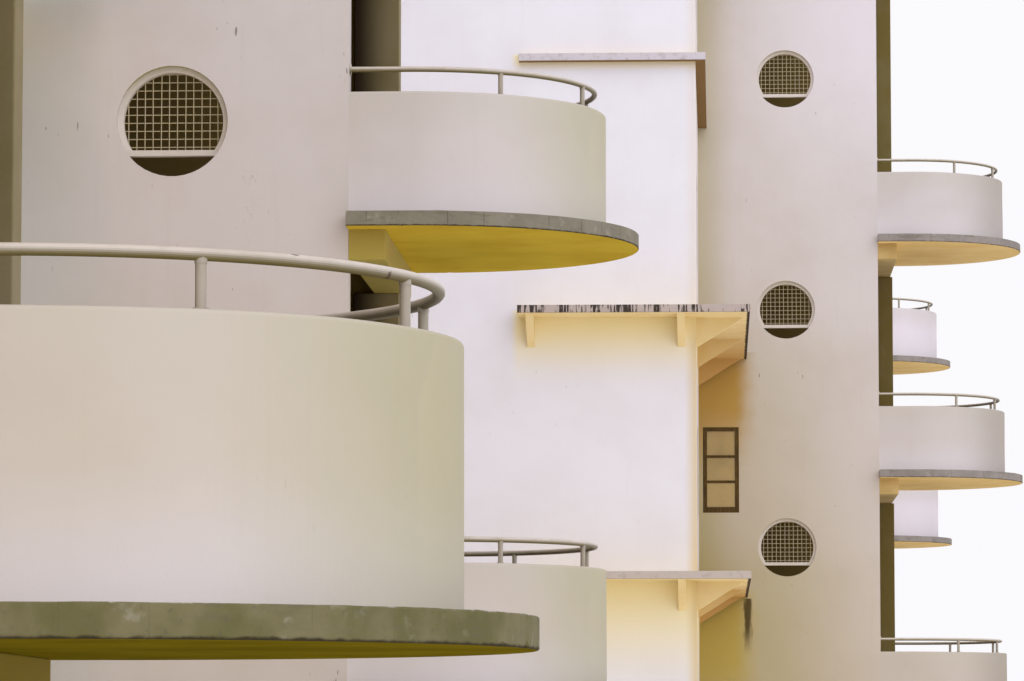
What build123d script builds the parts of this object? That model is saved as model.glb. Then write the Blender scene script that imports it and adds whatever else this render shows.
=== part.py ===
"""Stepped four-storey apartment block with stair towers and half-round balconies.

All sizes are millimetres on a 1:10 model, so 100 mm here is one metre on the block.
+Z is up, +Y runs along the block and +X points out of the balcony side.
The origin is on the ground, under the centre of the whole outline.
"""
from build123d import *
from math import cos, radians, sin, sqrt
import os

# Lengths and depths of the two ranges, and the step between them
near_range_length = 5022.0
far_range_length = 3520.0
range_depth = 800.0
step_forward = 488.0
wall_thickness = 23.0

# Floor levels, counted up from the ground
ground_floor_level = 16.0
ground_storey = 355.0
first_storey = 336.0
upper_storey = 329.5
floor_thickness = 15.0
roof_thickness = 15.0
roof_eave = 45.0

# Stair towers: where they stand and how far they reach out of the front wall
first_tower_offset = 630.0
near_bay = 1926.0
far_bay = 1980.0
near_tower_depth = 245.0
far_tower_depth = 254.0
tower_wall_thickness = 20.0
base_wall_thickness = 20.0

# Half-round balconies on the half landings
balcony_radius = 141.0
balcony_straight = 44.0
slab_overhang = 25.0
slab_thickness = 11.0
landing_depth = 110.0
parapet_height = 91.0
parapet_thickness = 14.0

# Pipe rails on the parapets
rail_radius = 2.0
rail_sides = 6
rail_chords = 12
rail_rise = 17.5
rail_inset = 8.5
post_radius = 1.8
post_angles = (-55.0, -13.0, 13.0, 55.0)

# Lintels and piers at the open front of each tower
lintel_width = 27.0
lintel_depth = 22.0
pier_thickness = 20.0

# Round windows in the towers' near side walls
porthole_radius = 41.0
porthole_setback = 130.0
porthole_rise_far = 60.0
porthole_rise_near = 70.0
porthole_rim = 4.2
porthole_rim_depth = 8.0
porthole_recess = 6.0
porthole_bar_drop = 23.0
porthole_bar_height = 4.2

# Doorways into the stair halls
doorway_width = 85.0
doorway_height = 198.0
doorway_margin = 14.0

# Windows in the long walls, and the glass behind them
window_width = 200.0
window_height = 120.0
window_sill = 85.0
window_pitch = 320.0
end_margin = 55.0
glass_thickness = 2.0
glass_lap = 6.0

# Concrete ledges at the floor levels, with brackets under the deep ones
ledge_thickness = 10.0
ledge_projection = 68.0
shallow_projection = 13.0
ledge_return = 226.0
bracket_width = 10.0
bracket_height = 38.0
bracket_reach = 60.0
bracket_pitch = 350.0
end_bracket_insets = (19.0, 211.0)

# Places that follow from the sizes above
first_floor_level = ground_floor_level + ground_storey
second_floor_level = first_floor_level + first_storey
third_floor_level = second_floor_level + upper_storey
roof_level = third_floor_level + upper_storey
roof_underside = roof_level - roof_thickness
floor_levels = (ground_floor_level, first_floor_level, second_floor_level, third_floor_level)
landing_levels = [(low + high) / 2 for low, high in zip(floor_levels, floor_levels[1:])]

balcony_reach = balcony_straight + balcony_radius + slab_overhang
near_front = (range_depth + ledge_projection - step_forward - far_tower_depth - balcony_reach) / 2
near_back = near_front - range_depth
far_front = near_front + step_forward
far_back = far_front - range_depth
near_end = -(near_range_length + far_range_length) / 2
step_line = near_end + near_range_length
far_end = step_line + far_range_length
tower_width = 2 * balcony_radius
porthole_bar_reach = sqrt((porthole_radius - porthole_rim / 2) ** 2 - porthole_bar_drop**2)

# Each range: name, front face, back face, first end, last end, tower depth, tower faces
near_towers = (near_end + first_tower_offset, near_end + first_tower_offset + near_bay)
far_towers = (step_line + first_tower_offset, step_line + first_tower_offset + far_bay)
ranges = (
    ("near", near_front, near_back, near_end, step_line, near_tower_depth, near_towers),
    ("far", far_front, far_back, step_line, far_end, far_tower_depth, far_towers),
)

# Each tower: front wall's outer face, tower's own front edge, near face, porthole levels
near_portholes = [level + porthole_rise_near for level in landing_levels]
far_portholes = [level + porthole_rise_far for level in floor_levels[1:]]
towers = [(near_front, near_front + near_tower_depth, y, near_portholes) for y in near_towers]
towers += [(far_front, far_front + far_tower_depth, y, far_portholes) for y in far_towers]

os.makedirs("parts", exist_ok=True)


def window_centres(start, end):
    """Evenly spaced window centres along a wall from start to end."""
    clear = end - start - 2 * end_margin
    count = max(1, int((clear - window_width) // window_pitch) + 1)
    middle = (start + end) / 2
    return [middle + (i - (count - 1) / 2) * window_pitch for i in range(count)]


def window_wall_face(face, start, end):
    """Face of one long wall, from start to end along the block, with its window openings."""
    with BuildSketch(Plane.YZ.offset(face)) as wall_face:
        with Locations(((start + end) / 2, roof_underside / 2)):
            Rectangle(end - start, roof_underside)
        for level in floor_levels:
            for centre in window_centres(start, end):
                with Locations((centre, level + window_sill + window_height / 2)):
                    Rectangle(window_width, window_height, mode=Mode.SUBTRACT)
    return wall_face.sketch


def glass_faces(face, start, end):
    """Faces of the sheets of glass behind one long wall, one sheet a storey."""
    centres = window_centres(start, end)
    length = centres[-1] - centres[0] + window_width + 2 * glass_lap
    with BuildSketch(Plane.YZ.offset(face)) as glass_face:
        for level in floor_levels:
            with Locations(((start + end) / 2, level + window_sill + window_height / 2)):
                Rectangle(length, window_height + 2 * glass_lap)
    return glass_face.sketch


def cross_wall_face(face, x_low, x_high):
    """Face of a plain wall that runs across the block."""
    with BuildSketch(Plane.XZ.offset(-face)) as wall_face:
        with Locations(((x_low + x_high) / 2, roof_underside / 2)):
            Rectangle(x_high - x_low, roof_underside)
    return wall_face.sketch


def rectangle_between(x_low, x_high, y_low, y_high):
    """Add a rectangle to the open sketch, given by its four sides."""
    with Locations(((x_low + x_high) / 2, (y_low + y_high) / 2)):
        Rectangle(x_high - x_low, y_high - y_low)


def bay_face(level, front_edge, centre_line, radius):
    """Face of a half-round bay: a straight stretch out of the tower, then a half circle."""
    round_x = front_edge + balcony_straight
    with BuildSketch(Plane.XY.offset(level)) as bay:
        with BuildLine():
            Line((front_edge, centre_line - radius), (round_x, centre_line - radius))
            ThreePointArc(
                (round_x, centre_line - radius),
                (round_x + radius, centre_line),
                (round_x, centre_line + radius),
            )
            Line((round_x, centre_line + radius), (front_edge, centre_line + radius))
            Line((front_edge, centre_line + radius), (front_edge, centre_line - radius))
        make_face()
    return bay.sketch


def bracket_face(plane, face, level, direction):
    """Wedge-shaped side of one bracket under a ledge that stands out of a wall's face."""
    soffit = level - ledge_thickness
    with BuildSketch(plane) as bracket:
        with BuildLine():
            Polyline(
                (face, soffit),
                (face + direction * bracket_reach, soffit),
                (face, soffit - bracket_height),
                close=True,
            )
        make_face()
    return bracket.sketch


def front_bracket_face(face, level, centre, direction):
    """Bracket on a wall that faces +X or -X, to be extruded towards +Y."""
    return bracket_face(Plane.XZ.offset(-(centre - bracket_width / 2)), face, level, direction)


def end_bracket_face(face, level, centre, direction):
    """Bracket on a wall that faces +Y or -Y, to be extruded towards +X."""
    return bracket_face(Plane.YZ.offset(centre - bracket_width / 2), face, level, direction)


def bracket_centres(start, end):
    """Bracket places along a ledge, with one close to each end."""
    count = max(1, round((end - start - 2 * bracket_width) / bracket_pitch))
    step = (end - start - 2 * bracket_width) / count
    return [start + bracket_width + i * step for i in range(count + 1)]


# Floors, roofs and long walls of the two ranges
floor_names = ("ground_floor", "first_floor", "second_floor", "third_floor")
for name, front, back, start, end, tower_depth, faces in ranges:
    for floor_name, level in zip(floor_names, floor_levels):
        underside = 0.0 if level == ground_floor_level else level - floor_thickness
        with BuildPart() as floor_slab:
            with BuildSketch(Plane.XY.offset(underside)):
                rectangle_between(
                    back + wall_thickness,
                    front - wall_thickness,
                    start + wall_thickness,
                    end - wall_thickness,
                )
            extrude(amount=level - underside)
        floor_slab.part.label = f"{name}_{floor_name}"
        export_step(floor_slab.part, f"parts/{name}_{floor_name}.step")

    segment_starts = [start + wall_thickness] + [face + tower_width for face in faces]
    segment_ends = list(faces) + [end - wall_thickness]
    for number, (low, high) in enumerate(zip(segment_starts, segment_ends), 1):
        with BuildPart() as front_wall:
            extrude(window_wall_face(front - wall_thickness, low, high), amount=wall_thickness)
        front_wall.part.label = f"{name}_front_wall_{number}"
        export_step(front_wall.part, f"parts/{name}_front_wall_{number}.step")

    with BuildPart() as back_wall:
        back_face = window_wall_face(back, start + wall_thickness, end - wall_thickness)
        extrude(back_face, amount=wall_thickness)
    back_wall.part.label = f"{name}_back_wall"
    export_step(back_wall.part, f"parts/{name}_back_wall.step")

    with BuildPart() as glazing:
        for low, high in zip(segment_starts, segment_ends):
            extrude(glass_faces(front - wall_thickness, low, high), amount=-glass_thickness)
        back_glass = glass_faces(back + wall_thickness, start + wall_thickness, end - wall_thickness)
        extrude(back_glass, amount=glass_thickness)
    glazing.part.label = f"{name}_glazing"
    export_step(glazing.part, f"parts/{name}_glazing.step")

# End walls and the two walls that meet at the step
with BuildPart() as near_end_wall:
    extrude(cross_wall_face(near_end, near_back, near_front), amount=-wall_thickness)
near_end_wall.part.label = "near_end_wall"
export_step(near_end_wall.part, "parts/near_end_wall.step")

with BuildPart() as party_wall:
    extrude(cross_wall_face(step_line - wall_thickness, near_back, near_front), amount=-wall_thickness)
party_wall.part.label = "party_wall"
export_step(party_wall.part, "parts/party_wall.step")

with BuildPart() as step_wall:
    extrude(cross_wall_face(step_line, far_back, far_front), amount=-wall_thickness)
step_wall.part.label = "step_wall"
export_step(step_wall.part, "parts/step_wall.step")

with BuildPart() as far_end_wall:
    extrude(cross_wall_face(far_end - wall_thickness, far_back, far_front), amount=-wall_thickness)
far_end_wall.part.label = "far_end_wall"
export_step(far_end_wall.part, "parts/far_end_wall.step")

# Flat roofs: each has eaves, and they meet edge to edge at the step
with BuildPart() as near_roof:
    with BuildSketch(Plane.XY.offset(roof_underside)):
        rectangle_between(near_back - roof_eave, near_front + roof_eave, near_end - roof_eave, step_line)
        rectangle_between(near_back - roof_eave, far_back - roof_eave, near_end, step_line + roof_eave)
    extrude(amount=roof_thickness)
near_roof.part.label = "near_roof"
export_step(near_roof.part, "parts/near_roof.step")

with BuildPart() as far_roof:
    with BuildSketch(Plane.XY.offset(roof_underside)):
        rectangle_between(far_back - roof_eave, far_front + roof_eave, step_line, far_end + roof_eave)
        rectangle_between(near_front + roof_eave, far_front + roof_eave, step_line - roof_eave, far_end)
    extrude(amount=roof_thickness)
far_roof.part.label = "far_roof"
export_step(far_roof.part, "parts/far_roof.step")

# Ledges at the upper floor levels, turning the outer corners of the end walls
ledge_plan = (
    (first_floor_level, ledge_projection, True),
    (second_floor_level, ledge_projection, True),
    (third_floor_level, shallow_projection, False),
)
for name, front, back, start, end, tower_depth, faces in ranges:
    ledge_starts = [start] + [face + tower_width for face in faces]
    ledge_ends = list(faces) + [end]
    with BuildPart() as front_ledges:
        for level, projection, has_brackets in ledge_plan:
            for low, high in zip(ledge_starts, ledge_ends):
                at_first_corner = low == start
                at_last_corner = high == end and name == "far"
                with BuildSketch(Plane.XY.offset(level - ledge_thickness)):
                    rectangle_between(front, front + projection, low, high)
                    if at_first_corner:
                        rectangle_between(
                            front - ledge_return, front + projection, low - projection, low
                        )
                    if at_last_corner:
                        rectangle_between(
                            front - ledge_return, front + projection, high, high + projection
                        )
                extrude(amount=ledge_thickness)
                if has_brackets:
                    for centre in bracket_centres(low, high):
                        extrude(front_bracket_face(front, level, centre, 1), amount=-bracket_width)
                    for inset in end_bracket_insets:
                        if at_first_corner:
                            extrude(end_bracket_face(low, level, front - inset, -1), amount=bracket_width)
                        if at_last_corner:
                            extrude(end_bracket_face(high, level, front - inset, 1), amount=bracket_width)
    front_ledges.part.label = f"{name}_front_ledges"
    export_step(front_ledges.part, f"parts/{name}_front_ledges.step")

with BuildPart() as back_ledges:
    for name, front, back, start, end, tower_depth, faces in ranges:
        for level, projection, has_brackets in ledge_plan:
            with BuildSketch(Plane.XY.offset(level - ledge_thickness)):
                rectangle_between(back - projection, back, start, end)
            extrude(amount=ledge_thickness)
            if has_brackets:
                for centre in bracket_centres(start, end):
                    extrude(front_bracket_face(back, level, centre, -1), amount=-bracket_width)
back_ledges.part.label = "back_ledges"
export_step(back_ledges.part, "parts/back_ledges.step")

# Stair towers, from the near end of the block to the far end
for number, (front, front_edge, face, porthole_levels) in enumerate(towers, 1):
    centre_line = face + balcony_radius
    far_side_wall = face + tower_width - tower_wall_thickness
    door_x = front + doorway_margin + doorway_width / 2
    door_top = ground_floor_level + doorway_height

    with BuildPart() as tower_walls:
        with BuildSketch(Plane.XZ.offset(-face)):
            rectangle_between(front - wall_thickness, front_edge, 0, roof_underside)
            with Locations(*[(front_edge - porthole_setback, level) for level in porthole_levels]):
                Circle(porthole_radius, mode=Mode.SUBTRACT)
        extrude(amount=-tower_wall_thickness)
        with BuildSketch(Plane.XZ.offset(-far_side_wall)):
            rectangle_between(front - wall_thickness, front_edge, 0, roof_underside)
            with Locations((door_x, door_top / 2)):
                Rectangle(doorway_width, door_top, mode=Mode.SUBTRACT)
        extrude(amount=-tower_wall_thickness)
    tower_walls.part.label = f"tower_{number}_walls"
    export_step(tower_walls.part, f"parts/tower_{number}_walls.step")

    with BuildPart() as parapets:
        for level in landing_levels:
            outer_bay = bay_face(level, front_edge, centre_line, balcony_radius)
            inner_bay = bay_face(level, front_edge, centre_line, balcony_radius - parapet_thickness)
            extrude(outer_bay, amount=parapet_height)
            extrude(inner_bay, amount=parapet_height, mode=Mode.SUBTRACT)
    parapets.part.label = f"tower_{number}_parapets"
    export_step(parapets.part, f"parts/tower_{number}_parapets.step")

# Balcony slabs with their landings, and the pipe rails, one node of each for a range
for name, front, back, start, end, tower_depth, faces in ranges:
    front_edge = front + tower_depth
    round_x = front_edge + balcony_straight
    rail_radius_in_plan = balcony_radius - rail_inset

    with BuildPart() as balcony_slabs:
        for face in faces:
            centre_line = face + balcony_radius
            for level in landing_levels:
                soffit = level - slab_thickness
                outer_bay = bay_face(soffit, front_edge, centre_line, balcony_radius + slab_overhang)
                extrude(outer_bay, amount=slab_thickness)
                with BuildSketch(Plane.XY.offset(soffit)):
                    rectangle_between(
                        front_edge - landing_depth,
                        front_edge,
                        face + tower_wall_thickness,
                        face + tower_width - tower_wall_thickness,
                    )
                extrude(amount=slab_thickness)
    balcony_slabs.part.label = f"{name}_balcony_slabs"
    export_step(balcony_slabs.part, f"parts/{name}_balcony_slabs.step")

    with BuildPart() as rails:
        for face in faces:
            centre_line = face + balcony_radius
            near_side = centre_line - rail_radius_in_plan
            far_side = centre_line + rail_radius_in_plan
            for level in landing_levels:
                parapet_top = level + parapet_height
                bends = [radians(180 * i / rail_chords - 90) for i in range(rail_chords + 1)]
                with BuildLine(Plane.XY.offset(parapet_top + rail_rise)) as rail_path:
                    Polyline(
                        (front_edge, near_side),
                        *[
                            (
                                round_x + rail_radius_in_plan * cos(bend),
                                centre_line + rail_radius_in_plan * sin(bend),
                            )
                            for bend in bends
                        ],
                        (front_edge, far_side),
                    )
                rail_start = (front_edge, near_side, parapet_top + rail_rise)
                with BuildSketch(Plane(origin=rail_start, x_dir=(0, 1, 0), z_dir=(1, 0, 0))):
                    RegularPolygon(rail_radius, rail_sides)
                sweep(path=rail_path.line, transition=Transition.RIGHT)
                with BuildSketch(Plane.XY.offset(parapet_top)):
                    with Locations((round_x, centre_line)):
                        for angle in post_angles:
                            with PolarLocations(rail_radius_in_plan, 1, start_angle=angle):
                                RegularPolygon(post_radius, rail_sides)
                extrude(amount=rail_rise)
    rails.part.label = f"{name}_balcony_rails"
    export_step(rails.part, f"parts/{name}_balcony_rails.step")

# Lintels under the landings, across the open front of each tower
with BuildPart() as tower_lintels:
    for front, front_edge, face, porthole_levels in towers:
        for level in landing_levels:
            with BuildSketch(Plane.XY.offset(level - slab_thickness - lintel_depth)):
                rectangle_between(front_edge, front_edge + lintel_width, face, face + tower_width)
            extrude(amount=lintel_depth)
tower_lintels.part.label = "tower_lintels"
export_step(tower_lintels.part, "parts/tower_lintels.step")

# Piers on the far side of each open front, from each landing up to what it carries
with BuildPart() as tower_piers:
    for front, front_edge, face, porthole_levels in towers:
        pier_face = face + tower_width - parapet_thickness
        pier_tops = [level - slab_thickness - lintel_depth for level in landing_levels[1:]]
        for foot, top in zip(landing_levels, pier_tops + [roof_underside]):
            with BuildSketch(Plane.XY.offset(foot)):
                rectangle_between(
                    front_edge, front_edge + lintel_width, pier_face - pier_thickness, pier_face
                )
            extrude(amount=top - foot)
tower_piers.part.label = "tower_piers"
export_step(tower_piers.part, "parts/tower_piers.step")

# Tower bases: the stair hall's floor, and the wall that closes the tower under its lowest landing
with BuildPart() as tower_bases:
    for front, front_edge, face, porthole_levels in towers:
        inner_low = face + tower_wall_thickness
        inner_high = face + tower_width - tower_wall_thickness
        with BuildSketch(Plane.XY):
            rectangle_between(front - wall_thickness, front_edge, inner_low, inner_high)
        extrude(amount=ground_floor_level)
        with BuildSketch(Plane.XY):
            rectangle_between(front_edge - base_wall_thickness, front_edge, inner_low, inner_high)
        extrude(amount=landing_levels[0] - slab_thickness)
tower_bases.part.label = "tower_bases"
export_step(tower_bases.part, "parts/tower_bases.step")

# Tower roofs, which carry the eaves of the main roofs round each tower
with BuildPart() as tower_roofs:
    for front, front_edge, face, porthole_levels in towers:
        with BuildSketch(Plane.XY.offset(roof_underside)):
            rectangle_between(
                front + roof_eave,
                front_edge + lintel_width + roof_eave,
                face - roof_eave,
                face + tower_width + roof_eave,
            )
        extrude(amount=roof_thickness)
tower_roofs.part.label = "tower_roofs"
export_step(tower_roofs.part, "parts/tower_roofs.step")

# Rims of the round windows, set back in the walls, each standing on the bar across its lower part
with BuildPart() as porthole_rims:
    for front, front_edge, face, porthole_levels in towers:
        porthole_x = front_edge - porthole_setback
        with BuildSketch(Plane.XZ.offset(-(face + porthole_recess))):
            with Locations(*[(porthole_x, level) for level in porthole_levels]):
                Circle(porthole_radius)
                Circle(porthole_radius - porthole_rim, mode=Mode.SUBTRACT)
            for level in porthole_levels:
                bar_level = level - porthole_bar_drop
                below_bar = bar_level - (porthole_bar_height + porthole_radius) / 2
                with Locations((porthole_x, below_bar)):
                    Rectangle(2 * porthole_radius, porthole_radius, mode=Mode.SUBTRACT)
                with Locations((porthole_x, bar_level)):
                    Rectangle(2 * porthole_bar_reach, porthole_bar_height)
        extrude(amount=-porthole_rim_depth)
porthole_rims.part.label = "porthole_rims"
export_step(porthole_rims.part, "parts/porthole_rims.step")
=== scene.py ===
"""Looks of the stepped apartment block, a 1:10 model: painted render, weathered slabs, rails and windows.

Sizes are millimetres on the model, where 100 mm is one metre on the real block, unless a name says otherwise.
"""

from __future__ import annotations

import logging
import math
import random
from dataclasses import dataclass, field
from enum import Enum
from typing import Iterable, Sequence

import bpy
from mathutils import Euler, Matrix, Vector, noise

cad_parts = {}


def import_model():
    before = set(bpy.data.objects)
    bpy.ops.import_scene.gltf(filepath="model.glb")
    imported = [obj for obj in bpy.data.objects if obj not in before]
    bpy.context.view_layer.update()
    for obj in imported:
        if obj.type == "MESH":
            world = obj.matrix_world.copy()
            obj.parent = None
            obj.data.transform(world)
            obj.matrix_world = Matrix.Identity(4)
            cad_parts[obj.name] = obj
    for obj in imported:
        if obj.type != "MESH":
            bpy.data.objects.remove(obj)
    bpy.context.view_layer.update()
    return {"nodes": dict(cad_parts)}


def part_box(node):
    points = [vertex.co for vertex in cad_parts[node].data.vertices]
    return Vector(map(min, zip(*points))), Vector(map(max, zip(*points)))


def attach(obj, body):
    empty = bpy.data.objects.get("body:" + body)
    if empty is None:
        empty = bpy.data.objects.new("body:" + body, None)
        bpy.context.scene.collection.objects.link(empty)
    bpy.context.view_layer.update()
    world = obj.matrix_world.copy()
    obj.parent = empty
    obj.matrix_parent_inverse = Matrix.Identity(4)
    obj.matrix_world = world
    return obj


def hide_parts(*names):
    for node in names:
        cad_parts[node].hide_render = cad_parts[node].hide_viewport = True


LOG = logging.getLogger("apartment_block")
MM = 0.001
# Width of a border that has to look sharp
SHARP = 0.01
# Corner numbers of a box's faces, its corners being in order of x, then y, then z
BOX_FACES = ((0, 1, 3, 2), (4, 6, 7, 5), (0, 4, 5, 1), (2, 3, 7, 6), (0, 2, 6, 4), (1, 5, 7, 3))

Point2 = tuple[float, float]
Point3 = tuple[float, float, float]
Socket = bpy.types.NodeSocket


class Side(Enum):
    """The way that a long wall faces."""

    FRONT = 1
    BACK = -1


class LeafState(Enum):
    """How far a casement leaf stands open, in degrees out of its frame."""

    SHUT = 0.0
    WIDE = 90.0


class Wear(str, Enum):
    """Colours of the dirt, growth and wear in the finishes, and of the light and shade painted into them."""

    LOW_WARM_TONE = "#B7A57F"
    SCUFF = "#6F665C"
    HAIRLINE_CRACK = "#8A8078"
    PAINTED_BOUNCE_LIGHT = "#E6E1E7"
    PAINTED_TOP_SHADE = "#BDB8AA"
    PAINTED_COOL_SHADE = "#A4B4B0"
    PAINTED_SKYLIGHT = "#EFEBF8"
    CORNER_YELLOW = "#DCC48A"
    PAINTED_CORNER_SHADE = "#A09443"
    WALL_ALGAE = "#3E2F06"
    SHADED_OLIVE = "#A09A50"
    PORE = "#5A564A"
    PALE_LIME = "#B9B4A6"
    RAIN_BAND = "#6A6450"
    BOARD_JOINT = "#4B463A"
    DRIP_LINE = "#2E2615"
    PAINTED_PIER_SHADE = "#2A1C0A"
    PAINTED_LEDGE_SHADE = "#C79C58"
    BROWN_UNDERSIDE = "#7C5F2F"
    LEDGE_GRIME = "#35240F"
    WORN_EDGE = "#A39B92"
    RUN_OFF = "#2A2018"
    DARK_LIP = "#6A5F4A"
    DULLED_ENAMEL = "#B3AA98"
    OLIVE_GRIME_AND_SHADE = "#5E5418"
    RUST_BLOOM = "#5E3D20"
    CHIPPED_TO_RUST = "#4A2A16"
    BAY_JOINT = "#5E5A52"


def srgb_to_linear(code: str) -> tuple[float, float, float, float]:
    """Turn an sRGB hex colour into linear light.

    Args:
        code: Colour such as "#C9C1B8".

    Returns:
        Red, green, blue and an alpha of 1.
    """
    digits = code.lstrip("#")
    channels = [int(digits[i : i + 2], 16) / 255 for i in (0, 2, 4)]
    linear = [c / 12.92 if c <= 0.04045 else ((c + 0.055) / 1.055) ** 2.4 for c in channels]
    return (linear[0], linear[1], linear[2], 1.0)


def add_node(
    tree: bpy.types.NodeTree,
    kind: str,
    inputs: dict[str | int, object] | None = None,
    **settings: object,
) -> bpy.types.Node:
    """Add one shader node with its settings, and fill or link its inputs.

    Args:
        tree: Node tree that the node joins.
        kind: Blender's own name of the node type.
        inputs: Input name or number to a value, or to an output socket to link.
        **settings: Properties of the node itself.

    Returns:
        The new node.
    """
    node = tree.nodes.new(kind)
    for name, value in settings.items():
        setattr(node, name, value)
    for name, value in (inputs or {}).items():
        if isinstance(value, Socket):
            tree.links.new(value, node.inputs[name])
        else:
            node.inputs[name].default_value = value
    return node


class Reading(Enum):
    """Place in the block's own frame, or way that the surface faces: node, output and axis."""

    ACROSS = ("ShaderNodeTexCoord", "Object", "X")
    ALONG = ("ShaderNodeTexCoord", "Object", "Y")
    UP = ("ShaderNodeTexCoord", "Object", "Z")
    FACING_ACROSS = ("ShaderNodeNewGeometry", "True Normal", "X")
    FACING_ALONG = ("ShaderNodeNewGeometry", "True Normal", "Y")
    FACING_UP = ("ShaderNodeNewGeometry", "True Normal", "Z")


@dataclass(frozen=True)
class Grain:
    """Noise from 0 to 1.

    Attributes:
        size: Size of its features.
        detail: Finer layers on top of the main one.
        stretch: Factors on the place along the three axes; below 1 they draw the features out.
        roughness: Share of the finer layers.
    """

    size: float
    detail: float = 3.0
    stretch: Point3 = (1.0, 1.0, 1.0)
    roughness: float = 0.55


@dataclass(frozen=True)
class Cells:
    """Distance from the wandering edges of large cells, as a share of their pitch."""

    pitch: float
    wander: Grain


@dataclass(frozen=True)
class Bays:
    """Distance from the joints between equal bays along one axis, as a share of their pitch."""

    axis: Reading
    pitch: float


@dataclass(frozen=True)
class Away:
    """Distance from a point."""

    point: Point3


Source = Reading | Grain | Cells | Bays | Away | Socket
Ragged = tuple[tuple[Grain, float], ...]


@dataclass(frozen=True)
class Fade:
    """Share of a coat that goes smoothly from low to high between two readings.

    Attributes:
        source: What is read; places and distances count in millimetres.
        start: Reading up to which the share is low.
        end: Reading from which it is high.
        low: Share before the start.
        high: Share after the end.
        about: Reading to take the distance from, either way, or None for the reading itself.
        ragged: Grains that shift the reading, and how far.
    """

    source: Source
    start: float
    end: float
    low: float = 0.0
    high: float = 1.0
    about: float | None = None
    ragged: Ragged = ()

    @property
    def unit(self) -> float:
        """What one millimetre, or one of a plain number, is to the shader."""
        in_place = self.source in (Reading.ACROSS, Reading.ALONG, Reading.UP) or isinstance(self.source, Away)
        return MM if in_place else 1.0


def beyond(source: Source, limit: float) -> Fade:
    """All of a coat from this reading on, with a sharp border."""
    return Fade(source, limit, limit + SHARP)


def within(source: Source, limit: float, about: float | None = None) -> Fade:
    """All of a coat up to this reading, or up to this distance about another one, with a sharp border."""
    return Fade(source, limit - SHARP, limit, 1.0, 0.0, about)


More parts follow.
